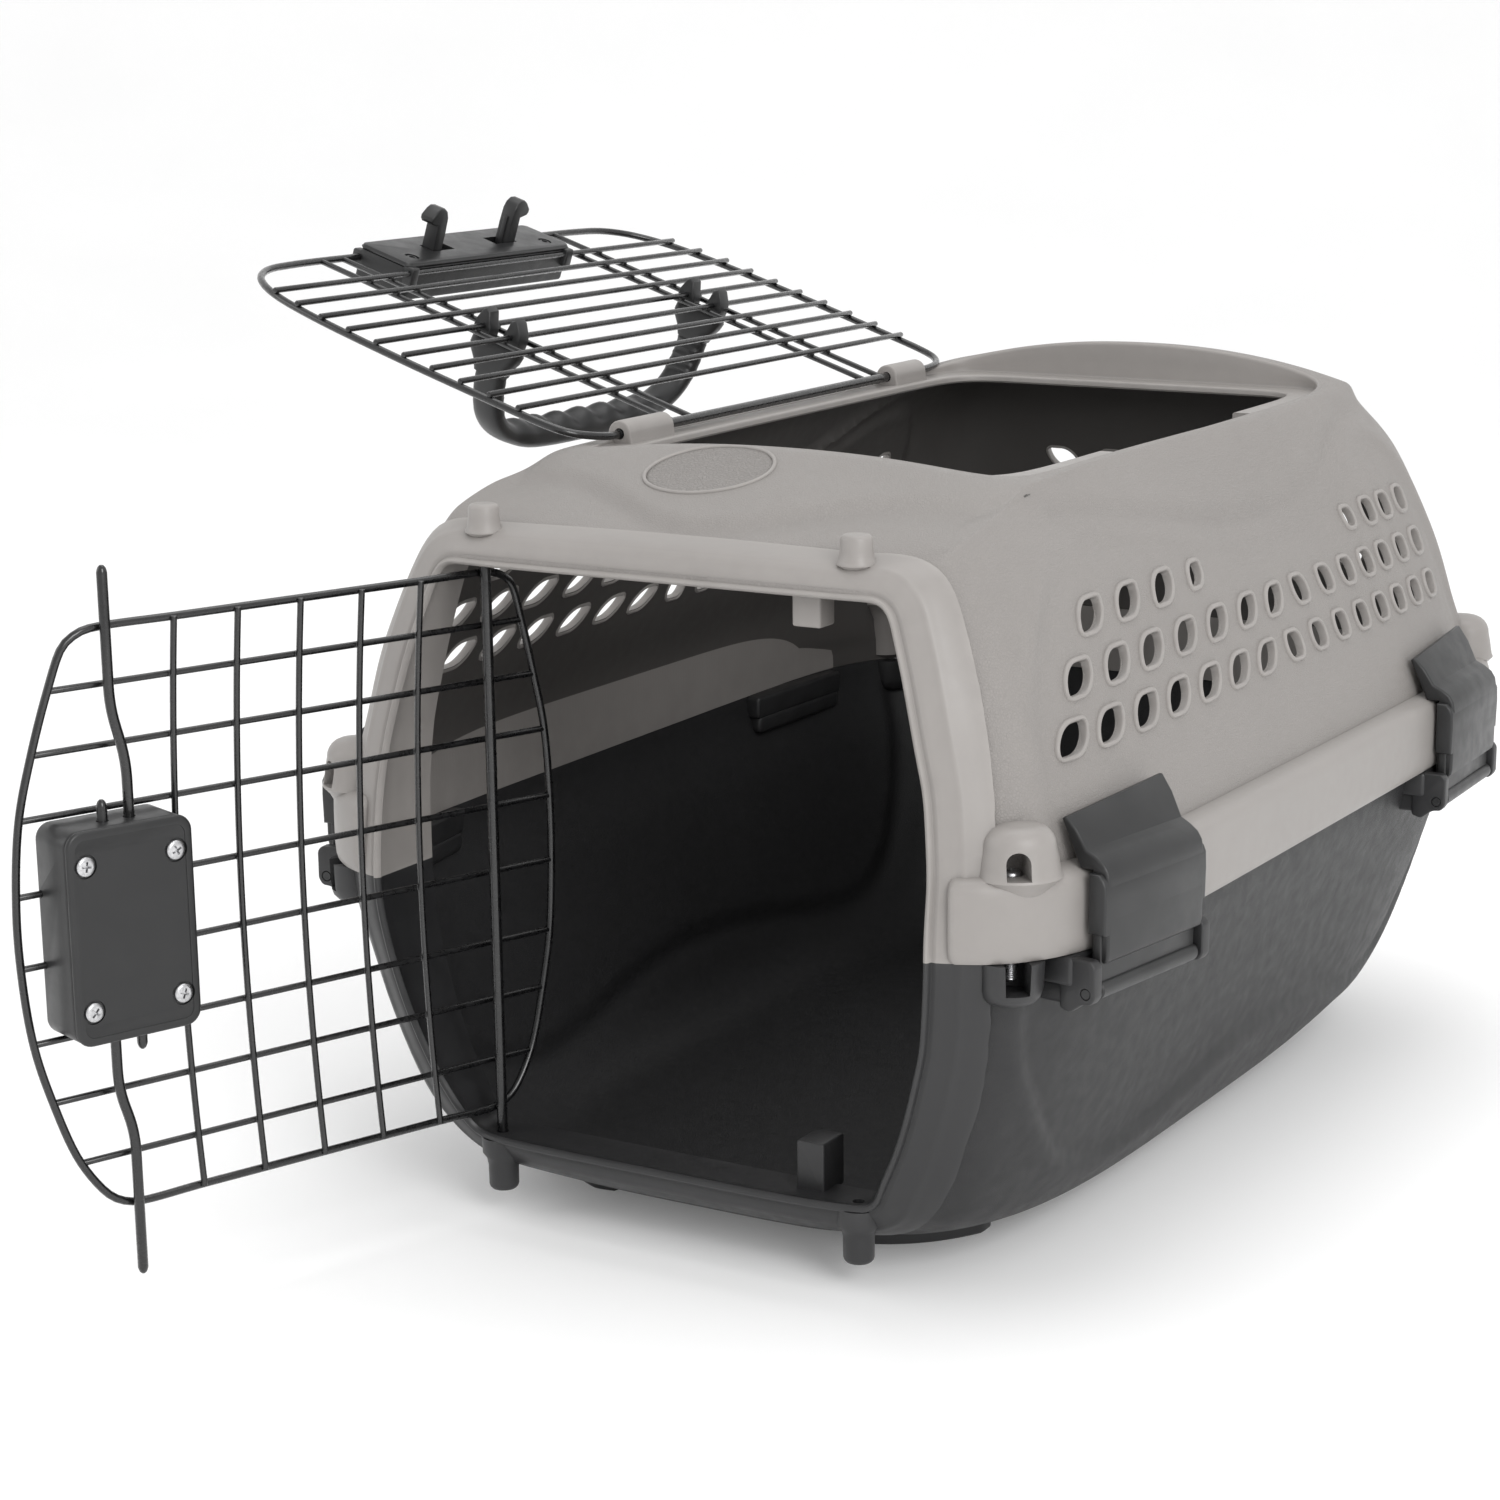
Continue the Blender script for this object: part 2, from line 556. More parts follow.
def moulded(name, col, rough=0.45, cell=1.15, grain=0.0, fine=0.15, spec=0.45, edge=0.25, vary=0.05, coat=0.0, bump_d=0.12):
    # moulded polypropylene: pebbled or fine-blasted skin, slight mottling, paler rubbed edges
    def build(nt, bs, co):
        L = nt.links.new
        big = nd(nt, "ShaderNodeTexNoise", Scale=14.0, Detail=4.0, Roughness=0.6)
        L(co, big.inputs["Vector"])
        mid = nd(nt, "ShaderNodeTexNoise", Scale=120.0, Detail=3.0)
        L(co, mid.inputs["Vector"])
        dark = tuple(c * (1 - vary) for c in col)
        pale = tuple(min(1, c * (1 + vary)) for c in col)
        r1 = ramp(nt, big.outputs[0], [(0.3, dark), (0.7, pale)])
        r2 = ramp(nt, mid.outputs[0], [(0.35, tuple(c * 0.965 for c in col)), (0.65, tuple(min(1, c * 1.035) for c in col))])
        c = mix_rgb(nt, 0.4, r1.outputs[0], r2.outputs[0])
        geo = nt.nodes.new("ShaderNodeNewGeometry")
        pt = ramp(nt, geo.outputs["Pointiness"], [(0.505, 0.0), (0.56, 1.0)])
        wn = nd(nt, "ShaderNodeTexNoise", Scale=60.0, Detail=5.0)
        L(co, wn.inputs["Vector"])
        wr = ramp(nt, wn.outputs[0], [(0.35, 0.2), (0.65, 1.0)])
        wear = math_n(nt, "MULTIPLY", math_n(nt, "MULTIPLY", pt.outputs[0], wr.outputs[0]), edge)
        c = mix_rgb(nt, wear, c, tuple(min(1, k * 1.35 + 0.02) for k in col))
        cav = ramp(nt, geo.outputs["Pointiness"], [(0.44, 1.0), (0.495, 0.0)])
        c = mix_rgb(nt, math_n(nt, "MULTIPLY", cav.outputs[0], 0.35), c, tuple(k * 0.55 for k in col))
        height = None
        if grain > 0:
            vo = nd(nt, "ShaderNodeTexVoronoi", Scale=1000.0 / cell, feature="DISTANCE_TO_EDGE")
            warp = nd(nt, "ShaderNodeTexNoise", Scale=500.0, Detail=1.0)
            L(co, warp.inputs["Vector"])
            add = nt.nodes.new("ShaderNodeVectorMath")
            add.operation = "MULTIPLY_ADD"
            L(warp.outputs["Color"], add.inputs[0])
            add.inputs[1].default_value = (0.0011, 0.0011, 0.0011)
            L(co, add.inputs[2])
            L(add.outputs[0], vo.inputs["Vector"])
            vr = ramp(nt, vo.outputs["Distance"], [(0.0, 0.0), (0.16, 0.75), (0.45, 1.0)])
            height = math_n(nt, "MULTIPLY", vr.outputs[0], grain)
            c = mix_rgb(nt, math_n(nt, "MULTIPLY", math_n(nt, "SUBTRACT", 1.0, vr.outputs[0]), 0.16), c, tuple(k * 0.6 for k in col))
        fn = nd(nt, "ShaderNodeTexNoise", Scale=2600.0, Detail=2.0)
        L(co, fn.inputs["Vector"])
        fh = math_n(nt, "MULTIPLY", fn.outputs[0], fine)
        height = fh if height is None else math_n(nt, "ADD", height, fh)
        L(c, bs.inputs["Base Color"])
        rr = ramp(nt, mid.outputs[0], [(0.3, rough - 0.05), (0.7, rough + 0.06)])
        L(rr.outputs[0], bs.inputs["Roughness"])
        bs.inputs["Specular IOR Level"].default_value = spec
        bs.inputs["Coat Weight"].default_value = coat
        bs.inputs["Coat Roughness"].default_value = 0.25
        bp = nd(nt, "ShaderNodeBump", Strength=1.0, Distance=bump_d * MM)
        L(height, bp.inputs["Height"])
        L(bp.outputs[0], bs.inputs["Normal"])
    return node_mat(name, build)


def coated(name, col, rough=0.22):
    # steel wire with a glossy dark coating, slightly uneven
    def build(nt, bs, co):
        L = nt.links.new
        n = nd(nt, "ShaderNodeTexNoise", Scale=300.0, Detail=3.0)
        L(co, n.inputs["Vector"])
        r = ramp(nt, n.outputs[0], [(0.3, tuple(c * 0.8 for c in col)), (0.7, tuple(c * 1.3 for c in col))])
        L(r.outputs[0], bs.inputs["Base Color"])
        rr = ramp(nt, n.outputs[0], [(0.3, rough - 0.06), (0.7, rough + 0.1)])
        L(rr.outputs[0], bs.inputs["Roughness"])
        bs.inputs["Coat Weight"].default_value = 0.5
        bs.inputs["Coat Roughness"].default_value = 0.12
        bp = nd(nt, "ShaderNodeBump", Strength=0.5, Distance=0.05 * MM)
        L(n.outputs[0], bp.inputs["Height"])
        L(bp.outputs[0], bs.inputs["Normal"])
    return node_mat(name, build)


def metal(name, col, rough=0.3, scale=900.0):
    def build(nt, bs, co):
        L = nt.links.new
        n = nd(nt, "ShaderNodeTexNoise", Scale=scale, Detail=4.0)
        L(co, n.inputs["Vector"])
        r = ramp(nt, n.outputs[0], [(0.3, tuple(c * 0.75 for c in col)), (0.65, col)])
        L(r.outputs[0], bs.inputs["Base Color"])
        bs.inputs["Metallic"].default_value = 1.0
        rr = ramp(nt, n.outputs[0], [(0.3, rough + 0.12), (0.7, rough - 0.06)])
        L(rr.outputs[0], bs.inputs["Roughness"])
        bp = nd(nt, "ShaderNodeBump", Strength=0.4, Distance=0.04 * MM)
        L(n.outputs[0], bp.inputs["Height"])
        L(bp.outputs[0], bs.inputs["Normal"])
    return node_mat(name, build)


LIGHT = (0.262, 0.246, 0.234)
DARKC = (0.021, 0.021, 0.022)
HARD = (0.0135, 0.0137, 0.0142)
M_LIGHT = moulded("upper_shell_grained", LIGHT, 0.5, 1.25, 0.8, 0.12, 0.4, 0.2, 0.03, 0, 0.16)
M_LIGHT_SATIN = moulded("upper_shell_satin", tuple(c * 1.06 for c in LIGHT), 0.42, 1.2, 0.0, 0.2, 0.45, 0.25, 0.03, 0, 0.05)
M_LIGHT_IN = moulded("upper_shell_inside", tuple(c * 0.32 for c in LIGHT), 0.5, 1.2, 0.0, 0.3, 0.4, 0.0, 0.05, 0, 0.08)
M_DARK = moulded("lower_shell_textured", DARKC, 0.52, 0.8, 0.7, 0.35, 0.45, 0.3, 0.08, 0, 0.10)
M_DARK_SATIN = moulded("lower_shell_satin", tuple(c * 0.95 for c in DARKC), 0.42, 0.8, 0.0, 0.3, 0.5, 0.35, 0.08, 0, 0.06)
M_DARK_IN = moulded("lower_shell_inside", (0.0075, 0.0075, 0.008), 0.4, 0.8, 0.0, 0.25, 0.45, 0.0, 0.1, 0, 0.05)
M_HARD = moulded("latch_plastic", HARD, 0.38, 0.7, 0.0, 0.3, 0.5, 0.4, 0.08, 0, 0.05)
M_HARD_TEX = moulded("latch_plastic_textured", tuple(c * 0.9 for c in HARD), 0.45, 0.7, 0.5, 0.3, 0.5, 0.3, 0.08, 0, 0.07)
M_WIRE = coated("wire_coating", (0.0042, 0.0042, 0.0046), 0.27)
M_ZINC = metal("zinc_plate", (0.62, 0.62, 0.63), 0.3)
M_SPRING = metal("spring_steel", (0.42, 0.42, 0.44), 0.28)


# ------------------------------------------------------------------ surface detail of the shells
CREASE = A((0, -250, 330), (43, -232, 331), (77, -212, 333), (100, -207, 336), (118, -202, 338.5))
ZC_Y = [-330, -250, -202, -135, -50, 30, 85, 130, 168, 200, 250, 330]
ZC_Z = [250, 300, 338, 333, 319, 308, 306.5, 316, 332, 340.5, 342, 342]
PANEL = catmull(A((-252, 150), (-254, 195), (-248, 228), (-238, 264), (-212, 294), (-176, 315), (-147, 320), (-112, 316),
                  (-50, 304), (5, 295), (64, 294), (121, 301), (155, 311), (188, 321), (215, 322), (234, 306), (243, 280), (249, 240), (252, 195), (252, 150)), 5, True)
LOW = catmull(A((-266, 175), (-265, 145), (-257, 120), (-245, 97), (-228, 76), (-213, 60), (-192, 47), (-166, 39), (-141, 37), (-105, 40), (-70, 46), (-22, 53.5),
                (42, 54), (87, 49), (130, 42), (165, 38), (195, 42), (218, 56), (236, 80), (250, 110), (258, 145), (260, 175)), 5, True)
YG_Z = [0, 15, 31, 48, 75, 98, 121, 143, 163, 199, 224, 237, 259, 280, 300, 316, 325, 335]
YG_Y = [-232, -246, -257, -262, -267, -269, -273, -278, -280, -277, -272, -269, -266, -262, -258, -254, -255, -262]


def poly_sd(px, py, poly):
    # signed distance to a closed polygon, positive inside
    P = np.stack([px.ravel(), py.ravel()], 1)
    a, b = poly, np.roll(poly, -1, 0)
    best = np.full(len(P), 1e9)
    inside = np.zeros(len(P), bool)
    for p, q in zip(a, b):
        d = q - p
        t = np.clip(((P - p) @ d) / (d @ d + 1e-12), 0, 1)
        best = np.minimum(best, np.hypot(*(P - p - t[:, None] * d).T))
        c = ((p[1] > P[:, 1]) != (q[1] > P[:, 1]))
        with np.errstate(divide="ignore", invalid="ignore"):
            xi = p[0] + (P[:, 1] - p[1]) * d[0] / d[1]
        inside ^= c & (P[:, 0] < xi)
    return np.where(inside, best, -best).reshape(px.shape)


def crown_sd(P):
    x, y, z = np.abs(P[..., 0]), P[..., 1], P[..., 2]
    yc = np.interp(x, [0, 20, 43, 60, 77, 88, 100, 118, 150], [-250, -245.5, -232, -221.5, -212, -209, -206.5, -202, -110])
    zc = pch(ZC_Y, ZC_Z, y)
    f1 = (y - yc) * 0.95
    f2 = (z - zc) * 1.02
    k = 9.0      # smooth minimum, so that the corner of the outline is round
    h = np.clip(0.5 + 0.5 * (f2 - f1) / k, 0, 1)
    return f2 * (1 - h) + f1 * h - k * h * (1 - h)


def relief_top(P, N):
    x, y, z = P[..., 0], P[..., 1], P[..., 2]
    s = crown_sd(P)
    k = sstep(-2.8, 3.4, s)
    d = 1.0 * k - 3.1 * (1 - k) * np.exp(-(np.maximum(0.0, -s - 1.0) / 17.0) ** 2)
    side = sstep(0.35, 0.75, np.abs(N[..., 0]))
    q = poly_sd(y, z, PANEL)
    d = d - side * 1.6 * sstep(-3.5, 4.0, q)
    d = d + side * 1.5 * np.exp(-((q + 5.5) / 5.0) ** 2)
    # groove behind the rim of the doorway
    g = y - np.interp(z, YG_Z, YG_Y)
    on = sstep(96, 124, np.abs(x))
    d = d - on * (2.6 * (1 - sstep(-2.0, 15.0, g)))
    return d


def relief_bottom(P, N):
    x, y, z = P[..., 0], P[..., 1], P[..., 2]
    side = sstep(0.25, 0.6, np.abs(N[..., 0]))
    q = poly_sd(y, z, LOW)
    d = -side * 2.6 * sstep(-3.5, 4.0, q) + side * 1.2 * np.exp(-((q + 5.5) / 5.0) ** 2)
    g = y - np.interp(z, YG_Z, YG_Y)
    on = sstep(60, 112, np.abs(x))
    d = d - on * 2.4 * (1 - sstep(-2.0, 14.0, g))
    return d


def grid_normals(G):
    # G: rows round the body (closed) by points along the section
    du = np.roll(G, -1, 0) - np.roll(G, 1, 0)
    dv = np.gradient(G, axis=1)
    n = np.cross(du, dv)
    n /= np.maximum(np.linalg.norm(n, axis=2), 1e-9)[..., None]
    return n


def bez(a, b, c, t):
    return ((1 - t) ** 2) * a + 2 * t * (1 - t) * b + t * t * c


def top_skin(chi, off, dz, rec, L, nw, nb, nr):
    # wall, rounded shoulder and roof up to the outline rec
    lo, hi = np.full(chi.shape, 250.0), np.full(chi.shape, 385.0)
    for _ in range(40):
        m = (lo + hi) / 2
        x, y = plan(chi, m, off)
        up = m > roof(x, y) + dz
        hi, lo = np.where(up, m, hi), np.where(up, lo, m)
    zt = (lo + hi) / 2
    xs, ys = plan(chi, zt, off)
    rx, ry = rec
    dist = np.hypot(rx - xs, ry - ys)
    Li = np.minimum(L, 0.5 * dist)
    cols = []
    for t in np.linspace(0, 1, nw):
        z = Z_PART + (zt - L - Z_PART) * t
        x, y = plan(chi, z, off)
        cols.append(np.stack([x, y, z], 1))
    a = cols[-1]
    b = np.stack([xs, ys, zt], 1)
    u = Li / np.maximum(dist, 1e-6)
    cx, cy = xs + (rx - xs) * u, ys + (ry - ys) * u
    c = np.stack([cx, cy, roof(cx, cy) + dz], 1)
    for t in np.linspace(0, 1, nb + 1)[1:]:
        cols.append(bez(a, b, c, t))
    for t in np.linspace(0, 1, nr + 1)[1:]:
        x, y = cx + (rx - cx) * t, cy + (ry - cy) * t
        cols.append(np.stack([x, y, roof(x, y) + dz], 1))
    G = np.stack(cols, 1)
    # even out the rows round the two front corners, so that none of them cross
    j = nw + nb - 1
    R = G[:, j - 4:, :2].copy()
    w = ((ry < -60) & (np.abs(xs) > 90) & (ys > -235) & (ys < -60)).astype(float)
    for _ in range(10):
        w = (np.roll(w, 1) + w + np.roll(w, -1)) / 3
    wv = np.ones(R.shape[1])
    wv[:5] = (0.0, 0.2, 0.4, 0.7, 1.0)
    wv[-1] = 0.0
    for _ in range(60):
        Q = (np.roll(R, 1, 0) + 2 * R + np.roll(R, -1, 0)) / 4
        Q[:, 1:-1] = (Q[:, :-2] + 2 * Q[:, 1:-1] + Q[:, 2:]) / 4
        R += (Q - R) * (w[:, None] * wv[None])[..., None]
    G[:, j - 4:, :2] = R
    G[:, j:, 2] = roof(R[:, 4:, 0], R[:, 4:, 1]) + dz
    return G


def ring_of(chi, r, off=0.0, n=11.0):
    # rounded outline of a rectangle (x0, x1, y0, y1) met in the direction chi
    a, b = (r[1] - r[0]) / 2 + off, (r[3] - r[2]) / 2 + off
    c, s = np.cos(chi), np.sin(chi)
    k = (np.abs(c) ** n + np.abs(s) ** n) ** (-1.0 / n)
    return (r[0] + r[1]) / 2 + a * k * c, (r[2] + r[3]) / 2 + b * k * s


DU = 2.3
NU = int(1640 / DU)
CHI = even_chi(NU)
NW, NB, NR = int(190 / DU), 7, int(95 / DU)
rec_o = ring_of(CHI, REC)
base_top = top_skin(CHI, 0.0, 0.0, rec_o, 9.0, NW, NB, NR)


n0 = grid_normals(base_top)
if np.mean(np.sum(n0[:, : NW // 2] * (base_top[:, : NW // 2] * A(1, 1, 0)), 2)) < 0:
    n0 = -n0
fade = sstep(0.5, 9.0, np.linalg.norm(base_top - base_top[:, -1:], axis=2))
def soften(F, m):
    for _ in range(m):
        F = (np.roll(F, 1, 0) + 2 * F + np.roll(F, -1, 0)) / 4
        F[:, 1:-1] = (F[:, :-2] + 2 * F[:, 1:-1] + F[:, 2:]) / 4
    return F


ns = soften(n0 * np.sign(np.sum(n0 * soften(n0.copy(), 12), 2))[..., None], 6)
ns /= np.linalg.norm(ns, axis=2)[..., None]
outer = base_top + ns * (soften(relief_top(base_top, n0), 3) * fade)[..., None]
mk = np.exp(-((np.hypot(np.abs(base_top[..., 0]) - 125, base_top[..., 1] + 183) / 22.0) ** 4))[..., None]
mk[:, -1] = 0
for _ in range(14):
    outer = outer + (soften(outer.copy(), 1) - outer) * mk
rec3 = ring_of(CHI, REC, 3.0)
inner = top_skin(CHI, -WALL, -WALL, rec3, 6.0, int(NW * 0.6), 4, int(NR * 0.5))
n1 = grid_normals(inner)
if np.mean(np.sum(n1[:, :10] * (inner[:, :10] * A(1, 1, 0)), 2)) < 0:
    n1 = -n1
inner = inner + n1 * (relief_top(inner, n1) * sstep(0, 8, inner[..., 2] - Z_PART - 10))[..., None]


def rim_of_recess():
    # from the edge of the recess down to its floor, across it and round the edge of the opening
    cols = []
    ex, ey = rec_o
    ez = outer[:, -1, 2]
    e = 1.8
    def pt(off, z):
        x, y = ring_of(CHI, REC, off)
        return np.stack([x, y, np.broadcast_to(z, x.shape)], 1)
    zf = np.full(ez.shape, Z_REC)
    zc_ = np.minimum(zf, ez - 0.5)
    ei, gi = np.minimum(e, 0.5 * (ez - zc_)), np.minimum(1.0, 0.3 * (ez - zc_))
    for k in (1, 2, 3, 4):
        t = k / 4 * math.pi / 2
        cols.append(pt(-e * math.sin(t), ez - ei * (1 - math.cos(t))))
    zl = ez - ei
    for k in (0.5, 1.0):
        cols.append(pt(-e, zl + (zc_ + gi - zl) * k))
    for k in (1, 2, 3):
        t = k / 3 * math.pi / 2
        cols.append(pt(-e - 1.0 * (1 - math.cos(t)), zc_ + gi - gi * math.sin(t)))
    rx, ry = ring_of(CHI, REC, -e - 1.0)
    ox, oy = ring_of(CHI, OPN, 1.2)
    for k in (0.35, 0.7, 1.0):
        cols.append(np.stack([rx + (ox - rx) * k, ry + (oy - ry) * k, zc_ + (zf - zc_) * k], 1))
    for k in (1, 2, 3):
        t = k / 3 * math.pi / 2
        x, y = ring_of(CHI, OPN, 1.2 * (1 - math.sin(t)))
        cols.append(np.stack([x, y, zf - 1.2 * (1 - math.cos(t))], 1))
    for o, z in ((0.0, 341.5), (0.9, 340.5)):
        x, y = ring_of(CHI, OPN, o)
        cols.append(np.stack([x, y, np.full(x.shape, z)], 1))
    x, y = ring_of(CHI, REC, 3.0)
    cols.append(np.stack([x, y, np.full(x.shape, 340.5)], 1))
    return np.stack(cols, 1)


full = np.concatenate([outer, rim_of_recess(), inner[:, ::-1]], 1)
v, f = full.reshape(-1, 3), grid_faces(full.shape[0], full.shape[1], True, True).tolist()
f = outward(v, f)
top_mesh = (v, f)

# lower shell
ZT = Z_PART
NWB = int(165 / DU)


def bottom_skin(off, z_floor, L, nw, nb, nr):
    cols = []
    for t in np.linspace(0, 1, nw):
        z = np.full(CHI.shape, ZT + (z_floor + L - ZT) * t)
        x, y = plan(CHI, z, off)
        cols.append(np.stack([x, y, z], 1))
    a = cols[-1]
    x, y = plan(CHI, np.full(CHI.shape, z_floor), off)
    b = np.stack([x, y, np.full(x.shape, z_floor)], 1)
    x2, y2 = x * 0.90, y * 0.94
    c = np.stack([x2, y2, np.full(x.shape, z_floor)], 1)
    for t in np.linspace(0, 1, nb + 1)[1:]:
        cols.append(bez(a, b, c, t))
    for t in np.linspace(0, 1, nr + 1)[1:]:
        k = 1 - t * 0.97
        cols.append(np.stack([x2 * k, y2 * k, c[:, 2]], 1))
    return np.stack(cols, 1)


base_bot = bottom_skin(0.0, 6.0, 10.0, NWB, 7, 12)
nb0 = grid_normals(base_bot)
if np.mean(np.sum(nb0[:, : NWB // 2] * (base_bot[:, : NWB // 2] * A(1, 1, 0)), 2)) < 0:
    nb0 = -nb0
out_b = base_bot + nb0 * relief_bottom(base_bot, nb0)[..., None]
in_b = bottom_skin(-WALL, 9.0, 9.0, int(NWB * 0.5), 4, 8)
nb1 = grid_normals(in_b)
if np.mean(np.sum(nb1[:, :10] * (in_b[:, :10] * A(1, 1, 0)), 2)) < 0:
    nb1 = -nb1
in_b = in_b + nb1 * relief_bottom(in_b, nb1)[..., None]


def closed_bowl(o, i):
    # outer skin from the rim to the pole, inner skin back to the rim
    n, mo, mi = o.shape[0], o.shape[1], i.shape[1]
    v = np.concatenate([o.reshape(-1, 3), i.reshape(-1, 3)])
    f = grid_faces(n, mo, True, False).tolist() + grid_faces(n, mi, True, False, True, n * mo).tolist()
    f.append([k * mo + mo - 1 for k in range(n)][::-1])
    f.append([n * mo + k * mi + mi - 1 for k in range(n)])
    for k in range(n):
        k2 = (k + 1) % n
        f.append([k2 * mo, k * mo, n * mo + k * mi, n * mo + k2 * mi][::-1])
    return v, f


bot_mesh = closed_bowl(out_b, in_b)
# both skins wind the same way; check which way is out on the whole
v = bot_mesh[0]
ff = [q for q in bot_mesh[1] if len(q) == 4]
q = np.array(ff)
vol = np.sum(v[q[:, 0]] * np.cross(v[q[:, 1]], v[q[:, 2]])) + np.sum(v[q[:, 0]] * np.cross(v[q[:, 2]], v[q[:, 3]]))
if vol < 0:
    bot_mesh = (v, [list(k)[::-1] for k in bot_mesh[1]])

# smooth skins without relief, to lay other features on
def bvh_of(*grids):
    vs, fs, k = [], [], 0
    for G in grids:
        vs += G.reshape(-1, 3).tolist()
        fs += (grid_faces(G.shape[0], G.shape[1], True, False) + k).tolist()
        k += G.shape[0] * G.shape[1]
    return BVHTree.FromPolygons(vs, fs)


BASE = bvh_of(base_top, base_bot)
SKIN = bvh_of(outer, out_b)


def hit(o, d, tree=None, far=600.0):
    r = (tree or SKIN).ray_cast(Vector(o), Vector(d).normalized(), far)
    return None if r[0] is None else (np.array(r[0]), np.array(r[1]))


# ------------------------------------------------------------------ doorway rim
def outline(off=0.0):
    # closed outline of the doorway in x-z, counter-clockwise seen from the front, from the lower left corner
    zs = np.linspace(DOOR_HW[0][1], DOOR_HW[-1][1], 60)
    hw = pch([b for a, b in DOOR_HW], [a for a, b in DOOR_HW], zs)
    side = np.stack([hw, zs], 1)
    xb, xt = DOOR_HW[0][0], DOOR_HW[-1][0]
    tb = side[0] - side[1]
    tb /= np.linalg.norm(tb)
    tt = side[-1] - side[-2]
    tt /= np.linalg.norm(tt)

    def corner(p0, t0, p3, n=14):
        k = np.linalg.norm(p3 - p0) * 0.42
        p1 = p0 + t0 * k
        p2 = p3 + A(1, 0) * k
        t = np.linspace(0, 1, n)[:, None]
        return (1 - t) ** 3 * p0 + 3 * t * (1 - t) ** 2 * p1 + 3 * t * t * (1 - t) * p2 + t ** 3 * p3
    cb = corner(side[0], tb, A(xb - 13.0, DOOR_Z0))[::-1]
    ct = corner(side[-1], tt, A(xt - 11.0, DOOR_Z1))
    r = np.vstack([cb, side[1:-1], ct])
    l = r[::-1].copy()
    l[:, 0] *= -1
    p = resample(np.vstack([r, l]), step=1.7, closed=True)
    t = np.roll(p, -1, 0) - np.roll(p, 1, 0)
    t /= np.linalg.norm(t, axis=1)[:, None]
    n = np.stack([t[:, 1], -t[:, 0]], 1)
    # soften the turn of the normals
    for _ in range(6):
        n = (np.roll(n, 1, 0) + 2 * n + np.roll(n, -1, 0)) / 4
    n /= np.linalg.norm(n, axis=1)[:, None]
    return p + n * off, n


OUT0, NRM0 = outline()


def section(o, n, phis):
    # surface of the smooth body in the plane through o that holds the y axis and n
    c = A(o[0] - n[0] * 6, -236.0, o[1] - n[1] * 6)
    pts = []
    for ph in phis:
        d = A(n[0] * math.sin(ph), -math.cos(ph), n[1] * math.sin(ph))
        h = hit(c, d, BASE)
        if h is not None:
            pts.append(h[0])
    return np.array(pts)


PROF = [  # distance from the doorway's edge along the surface, height above it
    (0.0, -1.6), (0.0, -0.2), (0.35, 0.75), (1.0, 1.25), (1.8, 1.2), (2.5, 0.65), (2.9, -0.15), (3.5, -0.5), (4.2, -0.35), (4.9, 0.15), (5.7, 0.5)]


